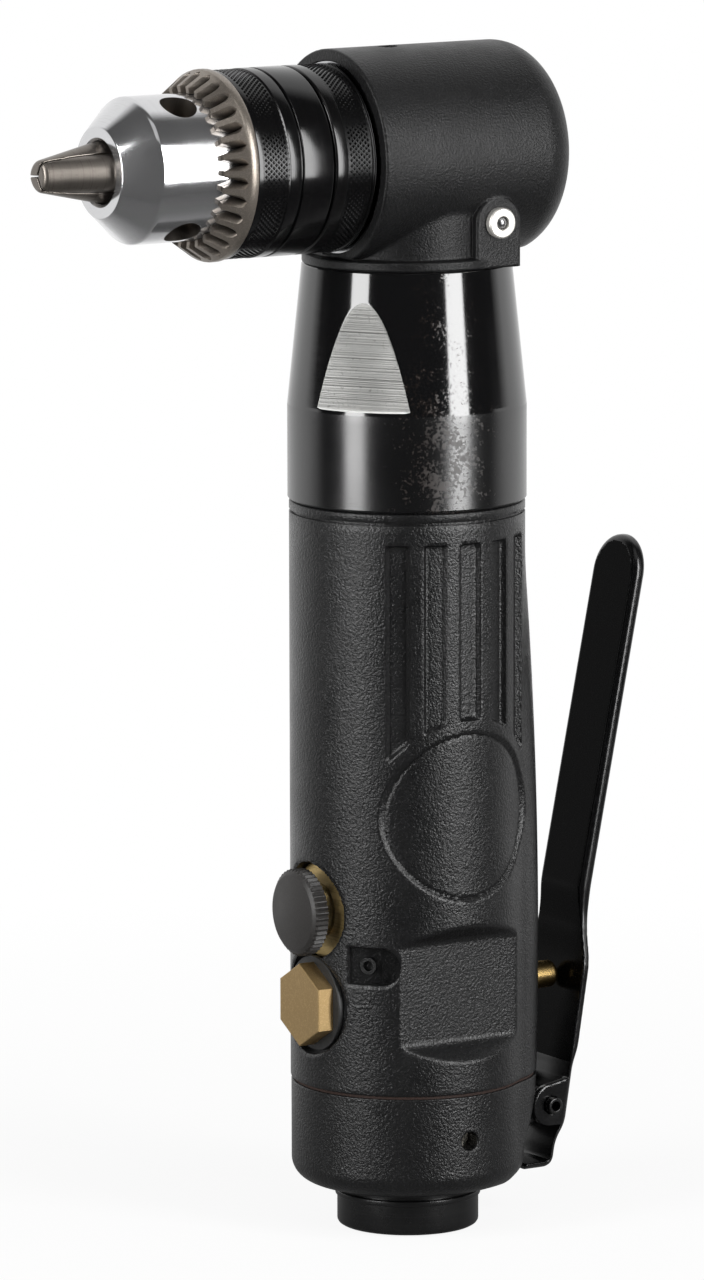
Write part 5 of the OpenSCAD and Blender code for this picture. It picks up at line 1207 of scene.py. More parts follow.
def head_field(x, y, z):
    """Distance field of the head with its neck, flange and nipple boss."""
    up = z - HEAD_Z
    r = np.hypot(y, up)
    q = np.hypot(x, y)
    body = both(r - HEAD_R, x - REAR_X, mm(7))
    body = both(body, RIM_X - x, mm(0.45))
    body = both(body, FLANGE_Z1 - z, mm(0.4))
    neck = np.maximum(q - NECK_R, np.maximum(CASE_Z1 - z, up))
    body = either(body, neck, mm(0.35))
    level = np.abs(z - (CASE_Z1 + FLANGE_Z1) / 2) - (FLANGE_Z1 - CASE_Z1) / 2
    flange = both(q - FLANGE_R, level, mm(0.35))
    body = either(body, flange, mm(0.35))
    boss = np.hypot(x - BOSS_X, np.maximum(z - BOSS_Z, 0)) - BOSS_R
    boss = np.maximum(both(boss, BOSS_Y - y, mm(0.45)), np.maximum(y + mm(8), CASE_Z1 - z))
    body = either(body, boss, mm(0.25))
    body = np.maximum(body, -np.maximum(r - RETAINER_R - mm(0.05), x - RETAINER_X1))
    for bore, end in HEAD_BORES:
        body = np.maximum(body, -np.maximum(r - bore, x - end))
    body = np.maximum(body, -np.maximum(q - SHAFT_BORE_R, up))
    screw = np.maximum(np.hypot(x - SCREW_X, y) - SCREW_HOLE_R, -up)
    body = both(body, -screw, mm(0.25))
    nipple = np.maximum(np.hypot(x - BOSS_X, z - BOSS_Z) - NIPPLE_BORE_R, y + mm(10))
    return np.maximum(body, -nipple)


class DRILL_OT_head(bpy.types.Operator):
    """Angle head with its neck, flange, boss and grease nipple"""
    bl_idname = "drill.head"
    bl_label = "Head"

    def execute(self, context):
        """Makes the head, the nipple and its ball."""
        margin = mm(0.9)
        mesh = field_mesh("Head", head_field, (-FLANGE_R - margin, -HEAD_R - margin, CASE_Z1 - margin),
                          (REAR_X + margin, HEAD_R + margin, HEAD_Z + HEAD_R + margin), mm(0.38))
        add_piece("Head", mesh, "housing", finishes().fine_coat(), ["head_housing"])
        ring, hole, tip = mm(2.65), mm(1.15), low("grease_nipple", Y)
        outline = rounded([(0, tip + mm(1.2), 0), (hole, tip + mm(1.2), 0), (hole, tip + mm(0.15), 0),
                           (hole + mm(0.15), tip, mm(0.05)), (ring - mm(0.25), tip, mm(0.12)),
                           (ring, tip + mm(0.3), mm(0.12)), (ring, BOSS_Y + mm(0.02), 0),
                           (mm(2.15), BOSS_Y + mm(0.02), 0),
                           (mm(2.15), high("grease_nipple", Y), 0), (0, high("grease_nipple", Y), 0)])
        turned("Grease nipple", outline, Y, (BOSS_X, 0, BOSS_Z), 64,
               finishes().plain("satin_steel"), "grease_nipple")
        ball, centre = (high("nipple_ball", X) - low("nipple_ball", X)) / 2, middle("nipple_ball", Y)
        outline = [(ball * math.sin(a), centre - ball * math.cos(a))
                   for a in np.linspace(0, math.pi, 20)]
        turned("Nipple ball", outline, Y, (BOSS_X, 0, BOSS_Z), 40,
               finishes().plain("gear"), "nipple_ball")
        return {"FINISHED"}


# Lever and valves, with the sizes that the frame doesn't give


LEVER_SHEET = mm(1.25)
LEVER_HEM = mm(2.5)
LEVER_ROUTE = [(low("throttle_lever", X), low("throttle_lever", Z)),
               (mm(25.64), mm(8)), (mm(26.38), mm(12.6)),
               (mm(28.34), mm(15.5)), (mm(33.01), mm(44.5)), (mm(33.01), mm(50)), LEVER_TOP]
GRIP_HALF = mm(6.7)
EAR_R = mm(3.8)
KNEE_Z, KNEE_RUN = mm(42), mm(12)
HEM_Z, HEM_RUN = mm(50), mm(8)
BEND_Z, BEND_RUN = mm(30), mm(5)
LEVER_BORE_R = mm(1.55)


def bent_route(corners, bend, steps=20):
    """Points along a route, with each corner drawn as a bend."""
    points = [np.array(corners[0])]
    for before, here, after in zip(corners, corners[1:], corners[2:]):
        here = np.array(here)
        back, ahead = np.array(before) - here, np.array(after) - here
        cut = min(bend, np.linalg.norm(back) * 0.45, np.linalg.norm(ahead) * 0.45)
        start = here + back / np.linalg.norm(back) * cut
        end = here + ahead / np.linalg.norm(ahead) * cut
        for t in np.linspace(0, 1, steps):
            points.append((1 - t) ** 2 * start + 2 * t * (1 - t) * here + t * t * end)
    points.append(np.array(corners[-1]))
    return np.array(points)


def route_offset(route, x, z):
    """Distance to the left of a route, seen along it."""
    shape = np.broadcast(x, z).shape
    best = np.full(shape, 1.0)
    side = np.zeros(shape)
    for (x0, z0), (x1, z1) in zip(route, route[1:]):
        dx, dz = x1 - x0, z1 - z0
        size = dx * dx + dz * dz
        t = np.clip(((x - x0) * dx + (z - z0) * dz) / size, 0, 1)
        gap = np.hypot(x - x0 - t * dx, z - z0 - t * dz)
        nearer = gap < best
        best = np.where(nearer, gap, best)
        side = np.where(nearer, dx * (z - z0) - dz * (x - x0), side)
    return best * np.where(side < 0, -1, 1)


LEVER_BENT = bent_route(LEVER_ROUTE, mm(3.2))


def lever_field(x, y, z):
    """Distance field of the pressed lever: a hemmed grip, a flat knee, two ears and a foot."""
    inward = route_offset(LEVER_BENT, x, z)
    wide = np.abs(y)
    half = EAR_SPAN / 2 - (EAR_SPAN / 2 - GRIP_HALF) * ease((z - KNEE_Z) / KNEE_RUN)
    round_z = LEVER_TOP[1] - GRIP_HALF
    face = np.where(z > round_z, np.hypot(wide, z - round_z) - GRIP_HALF, wide - half)
    hemmed = ease((z - HEM_Z) / HEM_RUN)
    thick = LEVER_SHEET + (LEVER_HEM - LEVER_SHEET) * hemmed
    bent = ease((BEND_Z - z) / BEND_RUN)
    plate = both(face, inward - thick, mm(0.25) + mm(0.75) * hemmed)
    plate = both(plate, -inward, mm(0.25) + mm(0.75) * hemmed + mm(1.35) * bent)
    outer = both(face, -inward, mm(1.6))
    inner = both(face + LEVER_SHEET, LEVER_SHEET - inward, mm(0.5))
    high_edge = PIVOT_Z + EAR_R + (x - PIVOT_X) * 0.2
    ear = np.maximum(np.maximum(LEVER_ROUTE[3][1] - z, z - high_edge), PIVOT_X - x)
    ear = np.minimum(ear, np.hypot(x - PIVOT_X, z - PIVOT_Z) - EAR_R)
    ear = both(np.maximum(outer, -inner), ear, mm(0.3))
    sheet = np.minimum(plate, ear)
    sheet = both(sheet, LEVER_ROUTE[0][0] - x, mm(0.3))
    return np.maximum(sheet, -(np.hypot(x - PIVOT_X, z - PIVOT_Z) - LEVER_BORE_R))


class DRILL_OT_lever(bpy.types.Operator):
    """Throttle lever with its hollow pivot pin, and the valve stem that it presses"""
    bl_idname = "drill.lever"
    bl_label = "Throttle lever"

    def execute(self, context):
        """Makes the lever, the pin, the stem and its bush."""
        margin = mm(0.8)
        corner = (low("throttle_lever", X) - margin, -EAR_SPAN / 2 - margin,
                  low("throttle_lever", Z) - margin)
        far = (LEVER_TOP[0] + margin, EAR_SPAN / 2 + margin, LEVER_TOP[1] + margin)
        mesh = dressed(field_mesh("Throttle lever", lever_field, corner, far, mm(0.33)),
                       finishes().plain("lever"), finishes().plain("lever_face"))
        # Painted shade: faces that face along X take the shaded copy of the paint; the rims keep the glossy paint.
        for face in mesh.polygons:
            face.material_index = 1 if abs(face.normal.x) > 0.97 and face.center.z > HOUSING_Z0 else 0
        add_piece("Throttle lever", mesh, "lever", nodes=["throttle_lever"])
        pin, half = high("lever_pin", X) - PIVOT_X, high("lever_pin", Y)
        hole = mm(0.85)
        outline = rounded([(hole, 0, 0), (hole, half, mm(0.12)),
                           (pin, half, mm(0.25)), (pin, -half, mm(0.25)),
                           (hole, -half, mm(0.12)), (hole, 0, 0)])
        turned("Lever pin", outline, Y, (PIVOT_X, 0, PIVOT_Z), 48,
               finishes().plain("bush"), "lever_pin")
        stem, tip, start = high("valve_stem", Y), high("valve_stem", X), low("valve_stem", X)
        outline = rounded([(0, start, 0), (stem, start, mm(0.2)), (stem, tip - mm(1.2), mm(0.8)),
                           (mm(1), tip - mm(0.05), mm(1.5)), (0, tip, 0)], 8)
        turned("Valve stem", outline, X, (0, 0, THROTTLE_Z), 48, finishes().plain("brass"),
               "valve_stem", "throttle_valve")
        bush = high("throttle_bush", Y) - mm(0.01)
        x0, x1 = low("throttle_bush", X), high("throttle_bush", X)
        bore = stem + mm(0.1)
        outline = rounded([(bore, x0, 0), (bush, x0, 0), (bush, x1, mm(0.3)),
                           (bore + mm(0.3), x1, mm(0.1)), (bore, x1 - mm(0.3), 0), (bore, x0, 0)])
        turned("Throttle bush", outline, X, (0, 0, THROTTLE_Z), 64,
               finishes().plain("brass"), "throttle_bush")
        return {"FINISHED"}


class DRILL_OT_throttle(bpy.types.Operator):
    """Hexagon valve plug, its washer and the wound valve spring"""
    bl_idname = "drill.throttle"
    bl_label = "Throttle plug"

    def execute(self, context):
        """Makes the plug, the washer and the spring."""
        half = high("valve_plug", Y)
        front, back, end = low("valve_plug", X), low("plug_washer", X), high("valve_plug", X)
        thread, cup = mm(5.6), mm(3.9)
        columns = []
        for turn in np.linspace(0, 2 * math.pi, 144, endpoint=False):
            off = (turn + math.pi / 6) % (math.pi / 3) - math.pi / 6
            flat = half / math.cos(off)
            outline = [(0, front), (flat - mm(0.16), front), (flat - mm(0.05), front + mm(0.05)),
                       (flat, front + mm(0.16)), (flat, back), (thread, back), (thread, end),
                       (cup, end), (cup, low("valve_spring", X)), (0, low("valve_spring", X))]
            columns.append([(x, r * math.cos(turn), THROTTLE_Z + r * math.sin(turn))
                            for r, x in outline])
        mesh = mesh_of("Valve plug", *skin(columns), sharp=12)
        add_piece("Valve plug", mesh, "housing", finishes().plain("dull_brass"), ["valve_plug"])
        ring, x1 = high("plug_washer", Y), high("plug_washer", X)
        outline = rounded([(thread + mm(0.05), back, 0), (ring, back, mm(0.2)), (ring, x1, mm(0.2)),
                           (thread + mm(0.05), x1, 0), (thread + mm(0.05), back, 0)])
        turned("Plug washer", outline, X, (0, 0, THROTTLE_Z), 96,
               finishes().plain("rubber"), "plug_washer")
        wire = mm(0.45)
        anchor = low("valve_spring", X)
        length = high("valve_spring", X) - anchor - 2 * wire
        mesh = grown("Valve spring", bpy.data.meshes.new("start"), coil_tree(), {
            "Turns": 6.0, "Coil radius": high("valve_spring", Y) - wire,
            "Length": length, "Wire radius": wire,
            "Start": (anchor + wire, 0, THROTTLE_Z), "Finish": finishes().plain("bearing")})
        weld(mesh)
        spring = add_piece("Valve spring", mesh, "housing", finishes().plain("bearing"),
                           ["valve_spring"])
        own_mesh(spring)
        return {"FINISHED"}


class DRILL_OT_reverse(bpy.types.Operator):
    """Reverse knob with its ridged rim, and the brass bush round it"""
    bl_idname = "drill.reverse"
    bl_label = "Reverse valve"

    def execute(self, context):
        """Makes the knob from one ridge, and turns the bush."""
        ridges = context.scene.drill_chuck.knob_ridges
        pitch, notch = 2 * math.pi / ridges, mm(0.42)
        rim = [(0, KNOB_X0, 0), (KNOB_R - mm(1.15), KNOB_X0, 0),
               (KNOB_R - mm(0.95), KNOB_X0 + mm(0.08), 0),
               (KNOB_R - mm(0.42), KNOB_X0 + mm(0.5), 0), (KNOB_R, KNOB_X0 + mm(0.85), 1),
               (KNOB_R, KNOB_X1 - mm(0.3), 1), (KNOB_R - mm(0.5), KNOB_X1, 0), (0, KNOB_X1, 0)]
        columns = []
        for turn, share in ((-0.5, 1), (-0.08, 0), (0.08, 0), (0.5, 1)):
            side, up = math.sin(turn * pitch), math.cos(turn * pitch)
            columns.append([(x, (r - notch * share * cut) * side, (r - notch * share * cut) * up)
                            for r, x, cut in rim])
        ridge = ring_share("ridge", columns)
        weld(ridge)
        mesh = ringed("Reverse knob", ridge, finishes().plain("knob"), REVERSE_Z, ridges, 25)
        add_piece("Reverse knob", mesh, "reverse_valve", finishes().plain("knob"),
                  ["reverse_knob"])
        ring, x0, x1 = high("reverse_bush", Y), low("reverse_bush", X), high("reverse_bush", X)
        body, bore = mm(6.4), high("reverse_spool", Y) + mm(0.03)
        outline = rounded([(bore, x1, 0), (bore, x0 + mm(0.4), 0), (bore + mm(0.4), x0, mm(0.1)),
                           (ring, x0, mm(0.35)), (ring, REVERSE_SEAT_X, mm(0.1)),
                           (body, REVERSE_SEAT_X, 0), (body, x1, 0), (bore, x1, 0)])
        turned("Reverse bush", outline, X, (0, 0, REVERSE_Z), 128,
               finishes().plain("satin_brass"), "reverse_bush")
        return {"FINISHED"}


# Chuck, with the sizes that the frame doesn't give


AXIS = (0, 0, HEAD_Z)
NOSE_R = mm(12.58)
FACE_R = mm(7.85)
MOUTH_R = mm(5.45)
COLLAR_R = high("chuck_body", Y)
PILOT_X = NOSE_X0 + mm(12.35)
PILOT_R = mm(3.25)
PILOT_TURN = 27
JAW_R = mm(3.2)
JAW_SLOPE = math.radians(13.5)
JAW_START = mm(2.159)
JAW_TURN = 87


def chuck_turn(k, start):
    """Direction of the k-th of three around the chuck, as (y, z)."""
    angle = math.radians(start + 120 * k)
    return np.array([-math.sin(angle), math.cos(angle)])


def rod_cutter(start, end, radius, finish):
    """Round cutter from one point to another."""
    start, end = np.asarray(start, float), np.asarray(end, float)
    length = np.linalg.norm(end - start)
    points, faces = lathe([(0, 0), (radius, 0), (radius, length), (0, length)], Z, segments=64)
    turn = np.array(Vector(end - start).to_track_quat("Z", "Y").to_matrix())
    return dressed(mesh_of("cutter", points @ turn.T + start, faces), finish)


def knurl(name, x0, x1, radius, body, sizes, finish):
    """Band of knurl diamonds round the chuck."""
    pitch = sizes.knurl_pitch
    count = int(2 * math.pi * radius / pitch)
    rows = max(int(2 * (x1 - x0) / pitch) - 1, 1)
    spacing = (x1 - x0 - pitch) / max(rows - 1, 1)
    half = math.pi / count
    sunk, tip = radius - mm(0.1), radius + sizes.knurl_height
    flat = 0.16
    ends = ((-1, 0), (0, -1), (1, 0), (0, 1))
    points = []
    for r, share in ((sunk, 1), (tip, flat)):
        points += [(x0 + pitch / 2 + share * a * pitch / 2, r * math.sin(share * b * half),
                    r * math.cos(share * b * half)) for a, b in ends]
    faces = [(i, (i + 1) % 4, (i + 1) % 4 + 4, i + 4) for i in range(4)] + [(4, 5, 6, 7), (3, 2, 1, 0)]
    diamond = mesh_of("diamond", points, faces)
    mesh = ringed(name, diamond, finish, HEAD_Z, count, 20, rows, spacing, half)
    return add_piece(name, mesh, body, finish)


class DRILL_OT_chuck(bpy.types.Operator):
    """Chuck body with its polished nose, pilot holes, jaw bores and knurled rear collar"""
    bl_idname = "drill.chuck"
    bl_label = "Chuck body"

    def execute(self, context):
        """Turns the body, drills it and adds the rear knurl."""
        cone_x, rear_x = NOSE_X0 + mm(5.3), SLEEVE_X1 + mm(0.3)
        seat, seat_x = high("spindle", Y) + mm(0.02), low("spindle", X)
        corners = [(0, NOSE_X0 + mm(22), 0), (MOUTH_R, NOSE_X0 + mm(22), 0),
                   (MOUTH_R, NOSE_X0 + mm(0.5), 0), (MOUTH_R + mm(0.5), NOSE_X0, mm(0.1)),
                   (FACE_R, NOSE_X0, mm(0.5)), (NOSE_R, cone_x, mm(1.2)), (NOSE_R, NOSE_X0 + mm(21), 0),
                   (mm(12), NOSE_X0 + mm(21.5), 0), (mm(12), rear_x - mm(0.5), 0),
                   (mm(14), rear_x - mm(0.5), 0), (mm(14), rear_x, 0), (COLLAR_R, rear_x, mm(0.5)),
                   (COLLAR_R, rear_x + mm(2.4), mm(0.2)), (COLLAR_R - mm(0.3), rear_x + mm(2.6), 0),
                   (COLLAR_R - mm(0.3), CHUCK_X1 - mm(0.7), 0), (COLLAR_R, CHUCK_X1 - mm(0.6), mm(0.1)),
                   (COLLAR_R, CHUCK_X1, mm(0.3)), (seat, CHUCK_X1, mm(0.3)),
                   (seat, seat_x, 0), (0, seat_x, 0)]
        black = finishes().plain("sleeve")
        mesh = dressed(mesh_of("Chuck body", *lathe(rounded(corners, 6), X, AXIS, 160)),
                       finishes().plain("polished"), black)
        for face in mesh.polygons:
            face.material_index = 1 if face.center.x > rear_x - mm(1) else 0
        cutters = []
        travel = joint_reach("jaw_1_slide")
        steel = finishes().plain("jaw")
        for k in range(3):
            spot = np.array([PILOT_X, 0, HEAD_Z])
            arm = np.array([0, *chuck_turn(k, PILOT_TURN)])
            cutters.append(rod_cutter(spot + arm * (NOSE_R - mm(4)), spot + arm * (NOSE_R + mm(3)),
                                      PILOT_R, steel))
            arm = np.array([0, *chuck_turn(k, JAW_TURN)])
            ends = []
            for x in (NOSE_X0 - mm(6), high("chuck_jaw_1", X) + travel):
                away = JAW_START + (x - NOSE_X0) * math.tan(JAW_SLOPE)
                ends.append(np.array([x, 0, HEAD_Z]) + arm * away)
            cutters.append(rod_cutter(ends[0], ends[1], JAW_R + mm(0.08), steel))
        mesh = carve(mesh, cutters, 30)
        add_piece("Chuck body", mesh, "spindle_group", nodes=["chuck_body"])
        knurl("Rear knurl", rear_x + mm(2.8), CHUCK_X1 - mm(0.8), COLLAR_R - mm(0.3),
              "spindle_group", context.scene.drill_chuck, black)
        return {"FINISHED"}


class DRILL_OT_sleeve(bpy.types.Operator):
    """Chuck sleeve with its knurl and the ring of key teeth"""
    bl_idname = "drill.sleeve"
    bl_label = "Chuck sleeve"

    def execute(self, context):
        """Turns the sleeve and repeats one key tooth round it."""
        sizes = context.scene.drill_chuck
        black, ring = finishes().plain("sleeve"), finishes().key_ring()
        key_x, bore, radius = SLEEVE_X0 + mm(5.3), mm(14.45), COLLAR_R
        groove = SLEEVE_X1 - mm(6.3)
        corners = [(bore, SLEEVE_X1, 0), (bore, key_x, 0), (radius - mm(0.1), key_x, mm(0.25)),
                   (radius - mm(0.1), key_x + mm(1), 0), (radius - mm(0.3), key_x + mm(1.15), 0),
                   (radius - mm(0.3), key_x + mm(6.1), 0), (radius, key_x + mm(6.3), mm(0.1)),
                   (radius, groove - mm(0.3), mm(0.15)), (radius - mm(0.4), groove - mm(0.15), 0),
                   (radius - mm(0.4), groove + mm(0.15), 0), (radius, groove + mm(0.3), mm(0.15)),
                   (radius, SLEEVE_X1, mm(0.4)), (bore, SLEEVE_X1, 0)]
        turned("Chuck sleeve", rounded(corners), X, AXIS, 160, black, "chuck_sleeve",
               "sleeve_group")
        knurl("Sleeve knurl", key_x + mm(1.15), key_x + mm(6.1), radius - mm(0.3),
              "sleeve_group", sizes, black)
        pitch = 2 * math.pi / sizes.key_teeth
        inner, rim_x, tip_r = NOSE_R + mm(0.1), key_x - mm(1.5), NOSE_R + mm(1.2)
        rows = [(bore, key_x, 0), (KEY_RIM_R - mm(0.3), key_x, 0),
                (KEY_RIM_R - mm(0.09), key_x - mm(0.09), 0), (KEY_RIM_R, key_x - mm(0.3), 0),
                (KEY_RIM_R, rim_x + mm(0.35), 0), (KEY_RIM_R - mm(0.1), rim_x, 0),
                (KEY_RIM_R - mm(0.3), rim_x - mm(0.22), 0)]
        start = np.array(rows[-1][:2])
        end = np.array([tip_r, SLEEVE_X0])
        for share in np.linspace(0, 1, 9):
            place = start + (end - start) * (0.03 + 0.97 * share)
            rows.append((*place, share))
        rows += [(inner, SLEEVE_X0 + mm(0.2), 1), (inner, key_x, 0), (bore, key_x, 0)]
        columns = []
        for place in range(5):
            column = []
            for r, x, share in rows:
                half = 0.33 * min(share / 0.25, 1) ** 0.5
                turn = (0, half, 0.5, 1 - half, 1)[place] * pitch
                deep = sizes.notch_depth * share ** 0.8 if place in (0, 4) else 0
                column.append((x + deep, r * math.sin(turn), r * math.cos(turn)))
            columns.append(column)
        tooth = ring_share("tooth", columns)
        # Painted shade: points low in the notches are marked for a dark colour in the key ring finish.
        low_down = [min(share * 2.5, 1) if place in (0, 4) else 0
                    for place in range(5) for _, _, share in rows]
        tooth.attributes.new("low_down", "FLOAT", "POINT").data.foreach_set("value", low_down)
        weld(tooth)
        mesh = ringed("Key ring", tooth, ring, HEAD_Z, sizes.key_teeth, 25)
        add_piece("Key ring", mesh, "sleeve_group", ring)
        return {"FINISHED"}


def jaw_field(out):
    """Distance field of one jaw that lies to the outside in a direction."""
    end = (high("chuck_jaw_1", X) - JAW_R * math.sin(JAW_SLOPE) - NOSE_X0) / math.cos(JAW_SLOPE)

    def field(x, y, z):
        away = y * out[0] + (z - HEAD_Z) * out[1]
        beside = y * out[1] - (z - HEAD_Z) * out[0]
        lift = (away - JAW_START - (x - NOSE_X0) * math.tan(JAW_SLOPE)) * math.cos(JAW_SLOPE)
        rod = np.hypot(lift, beside) - JAW_R
        wedge = mm(0.16) - away * math.sin(math.pi / 3) + np.abs(beside) * math.cos(math.pi / 3)
        along = (x - NOSE_X0) * math.cos(JAW_SLOPE) + (away - JAW_START) * math.sin(JAW_SLOPE)
        jaw = both(rod, JAW_X0 - x, mm(0.7))
        jaw = both(jaw, along - end, mm(0.3))
        return both(jaw, wedge, mm(0.12))
    return field


class DRILL_OT_jaws(bpy.types.Operator):
    """Three chuck jaws"""
    bl_idname = "drill.jaws"
    bl_label = "Chuck jaws"

    def execute(self, context):
        """Makes each jaw in its own direction."""
        for k in range(3):
            node = f"chuck_jaw_{k + 1}"
            margin = Vector([mm(0.8)] * 3)
            corner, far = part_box(node)[0] - margin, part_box(node)[1] + margin
            mesh = field_mesh(f"Jaw {k + 1}", jaw_field(chuck_turn(k, JAW_TURN)), corner, far, mm(0.24))
            add_piece(f"Jaw {k + 1}", mesh, f"jaw_{k + 1}", finishes().plain("jaw"), [node])
        return {"FINISHED"}


class DRILL_OT_inside(bpy.types.Operator):
    """Finishes of the pieces inside, which keep their CAD shapes"""
    bl_idname = "drill.inside"
    bl_label = "Inside pieces"

    def execute(self, context):
        """Gives each CAD node that still shows the finish of its slot."""
        made = finishes()
        by_slot = {"textured_black": made.coat(), "black_oxide": made.oxide()}
        for slot, kind in (("gloss_black", "lever"), ("polished_steel", "polished"),
                           ("jaw_steel", "jaw"), ("gear_steel", "gear"), ("bearing_steel", "bearing"),
                           ("motor_iron", "iron"), ("vane", "vane"), ("brass", "brass"),
                           ("knob_grey", "knob"), ("seal_rubber", "rubber"),
                           ("gasket_fibre", "gasket"), ("felt", "felt")):
            by_slot[slot] = made.plain(kind)
        slots = {part["node"]: part["material_slot"] for part in frame["record"]["subparts"]}
        for name, obj in frame["nodes"].items():
            finish = by_slot[slots[name]]
            if not obj.material_slots:
                obj.data.materials.append(finish)
            for place in obj.material_slots:
                place.material = finish
        return {"FINISHED"}


# Stage


FLOOR_REACH = 6.0
BACK = (0.53, 0.848, 0.0)
DARK_SIDE = 0.03


class DRILL_OT_stage(bpy.types.Operator):
    """Camera, pale floor, soft lamps and white surroundings"""
    bl_idname = "drill.stage"
    bl_label = "Stage"

    def execute(self, context):
        """Sets the camera, the floor, the lamps and the world."""
        studio = context.scene.drill_studio
        camera = bpy.data.objects.new("Camera", bpy.data.cameras.new("Camera"))
        context.scene.collection.objects.link(camera)
        camera.data.lens = studio.lens
        camera.data.clip_end = 20
        aim = Vector(studio.camera_aim) - Vector(studio.camera_place)
        turn = aim.to_track_quat("-Z", "Y").to_matrix() @ Matrix.Rotation(studio.camera_roll, 3, "Z")
        camera.matrix_world = Matrix.Translation(studio.camera_place) @ turn.to_4x4()
        context.scene.camera = camera
        mesh = bpy.data.meshes.new("Floor")
        corners = [(FLOOR_REACH * a, FLOOR_REACH * b, 0)
                   for a, b in ((-1, -1), (1, -1), (1, 1), (-1, 1))]
        mesh.from_pydata(corners, [], [(0, 1, 2, 3)])
        floor = bpy.data.objects.new("Floor", mesh)
        floor.location.z = -mm(0.3)
        context.scene.collection.objects.link(floor)
        mesh.materials.append(floor_finish())
        reach, tall, wide = studio.strip_distance, 0.8, 0.27
        for name, turn, level in (("Left strip", -studio.strip_turn, studio.left_level),
                                  ("Right strip", studio.strip_turn, studio.right_level)):
            side = math.atan2(-aim.y, -aim.x) + turn
            place = Vector((reach * math.cos(side), reach * math.sin(side), tall / 2))
            add_lamp(context.scene, name, place, Vector((0, 0, tall / 2)), (wide, tall), level)
        add_lamp(context.scene, "Top softbox", Vector((-0.2, -0.5, 1.3)), Vector((0, 0, 0.1)),
                 (1.0, 0.8), studio.top_level)
        set_world(context.scene)
        context.scene.view_settings.view_transform = "Standard"
        return {"FINISHED"}


def add_lamp(scene, name, place, target, size, level):
    """Soft rectangular lamp of a given brightness that faces a target."""
    data = bpy.data.lights.new(name, "AREA")
    data.shape = "RECTANGLE"
    data.size, data.size_y = size
    data.energy = level * math.pi * size[0] * size[1]
    lamp = bpy.data.objects.new(name, data)
    lamp.location = place
    lamp.rotation_euler = (target - place).to_track_quat("-Z", "Y").to_euler()
    scene.collection.objects.link(lamp)


def floor_finish():
    """White floor that keeps part of its shadow, and is dark in reflections on the near side."""
    material = bpy.data.materials.new("White floor")
    material.use_nodes = True
    tree = material.node_tree
    shader = tree.nodes["Principled BSDF"]
    shader.inputs["Roughness"].default_value = 0.9
    shader.inputs["Specular IOR Level"].default_value = 0.0
    place = tree.nodes.new("ShaderNodeTexCoord").outputs["Object"]
    tone = put(tree, "ShaderNodeTexNoise", {"Vector": place, "Scale": 30.0, "Detail": 3.0}).outputs[0]
    pale = mix_colour(tree, tone, (0.9, 0.9, 0.9, 1), (0.94, 0.94, 0.94, 1))
    tree.links.new(pale, shader.inputs["Base Color"])
    rays = tree.nodes.new("ShaderNodeLightPath").outputs
    behind = put(tree, "ShaderNodeVectorMath", {0: place, 1: BACK},
                 operation="DOT_PRODUCT").outputs["Value"]
    mirrored = spread(tree, behind, DARK_SIDE, 1.0, -0.05, 0.3)
    level = put(tree, "ShaderNodeMix", {0: rays["Is Camera Ray"], 2: mirrored, 3: 1.0}).outputs[0]
    glow = put(tree, "ShaderNodeEmission", {"Color": (1, 1, 1, 1), "Strength": level}).outputs[0]
    seen = math_node(tree, "MAXIMUM", rays["Is Camera Ray"], rays["Is Glossy Ray"])
    away = put(tree, "ShaderNodeVectorMath", {0: place}, operation="LENGTH").outputs["Value"]
    share = math_node(tree, "MULTIPLY", seen, spread(tree, away, 0.9, 1.0, 0.06, 0.3))
    mix = put(tree, "ShaderNodeMixShader", {0: share, 1: shader.outputs[0], 2: glow})
    tree.links.new(mix.outputs[0], tree.nodes["Material Output"].inputs["Surface"])
    return material


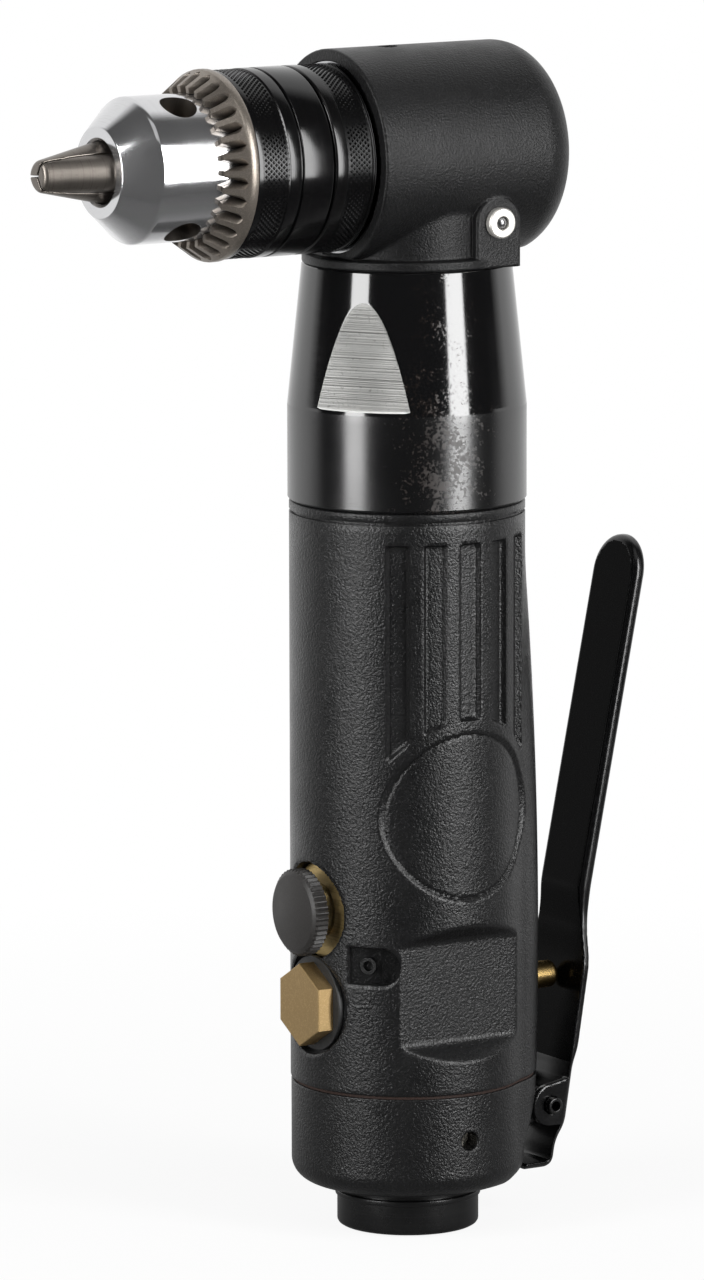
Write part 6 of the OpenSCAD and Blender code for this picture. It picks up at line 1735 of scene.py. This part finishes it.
def set_world(scene):
    """White surroundings that are dark before the drill in reflections, with a soft fill."""
    world = bpy.data.worlds.new("Studio")
    world.use_nodes = True
    tree = world.node_tree
    back = tree.nodes["Background"]
    rays = tree.nodes.new("ShaderNodeLightPath").outputs
    aim = tree.nodes.new("ShaderNodeTexCoord").outputs["Generated"]
    behind = put(tree, "ShaderNodeVectorMath", {0: aim, 1: BACK},
                 operation="DOT_PRODUCT").outputs["Value"]
    mirrored = spread(tree, behind, DARK_SIDE, 1.0, 0.2, 0.45)
    level = put(tree, "ShaderNodeMix", {0: rays["Is Glossy Ray"], 2: 0.18, 3: mirrored}).outputs[0]
    seen = math_node(tree, "MAXIMUM", rays["Is Camera Ray"], rays["Is Transmission Ray"])
    back.inputs["Color"].default_value = (1, 1, 1, 1)
    strength = put(tree, "ShaderNodeMix", {0: seen, 2: level, 3: 1.0}).outputs[0]
    tree.links.new(strength, back.inputs["Strength"])
    scene.world = world


STEPS = (DRILL_OT_housing, DRILL_OT_end_cap, DRILL_OT_inlet, DRILL_OT_gear_case, DRILL_OT_head,
         DRILL_OT_lever, DRILL_OT_throttle, DRILL_OT_reverse, DRILL_OT_chuck, DRILL_OT_sleeve,
         DRILL_OT_jaws, DRILL_OT_inside, DRILL_OT_stage)
SETTINGS = (("drill_grip", GripSizes), ("drill_chuck", ChuckSizes), ("drill_colours", FinishColours),
            ("drill_studio", StudioSettings))


class DRILL_PT_panel(bpy.types.Panel):
    """Buttons of the air drill"""
    bl_idname = "DRILL_PT_panel"
    bl_label = "Air drill"
    bl_space_type = "VIEW_3D"
    bl_region_type = "UI"
    bl_category = "Air drill"

    def draw(self, context):
        """Lists the settings and the steps."""
        for name, group in SETTINGS:
            box = self.layout.box()
            for field in group.__annotations__:
                box.prop(getattr(context.scene, name), field)
        for step in STEPS:
            self.layout.operator(step.bl_idname)


def register():
    """Adds the settings, the operators and the panel."""
    for name, group in SETTINGS:
        bpy.utils.register_class(group)
        setattr(bpy.types.Scene, name, bpy.props.PointerProperty(type=group))
    for item in STEPS + (DRILL_PT_panel,):
        bpy.utils.register_class(item)


def unregister():
    """Takes them away again."""
    for item in (DRILL_PT_panel,) + STEPS[::-1]:
        bpy.utils.unregister_class(item)
    for name, group in SETTINGS[::-1]:
        delattr(bpy.types.Scene, name)
        bpy.utils.unregister_class(group)


def main():
    """Runs every step in order."""
    register()
    bpy.ops.drill.housing()
    bpy.ops.drill.end_cap()
    bpy.ops.drill.inlet()
    bpy.ops.drill.gear_case()
    bpy.ops.drill.head()
    bpy.ops.drill.lever()
    bpy.ops.drill.throttle()
    bpy.ops.drill.reverse()
    bpy.ops.drill.chuck()
    bpy.ops.drill.sleeve()
    bpy.ops.drill.jaws()
    bpy.ops.drill.inside()
    bpy.ops.drill.stage()


if __name__ == "__main__":
    main()
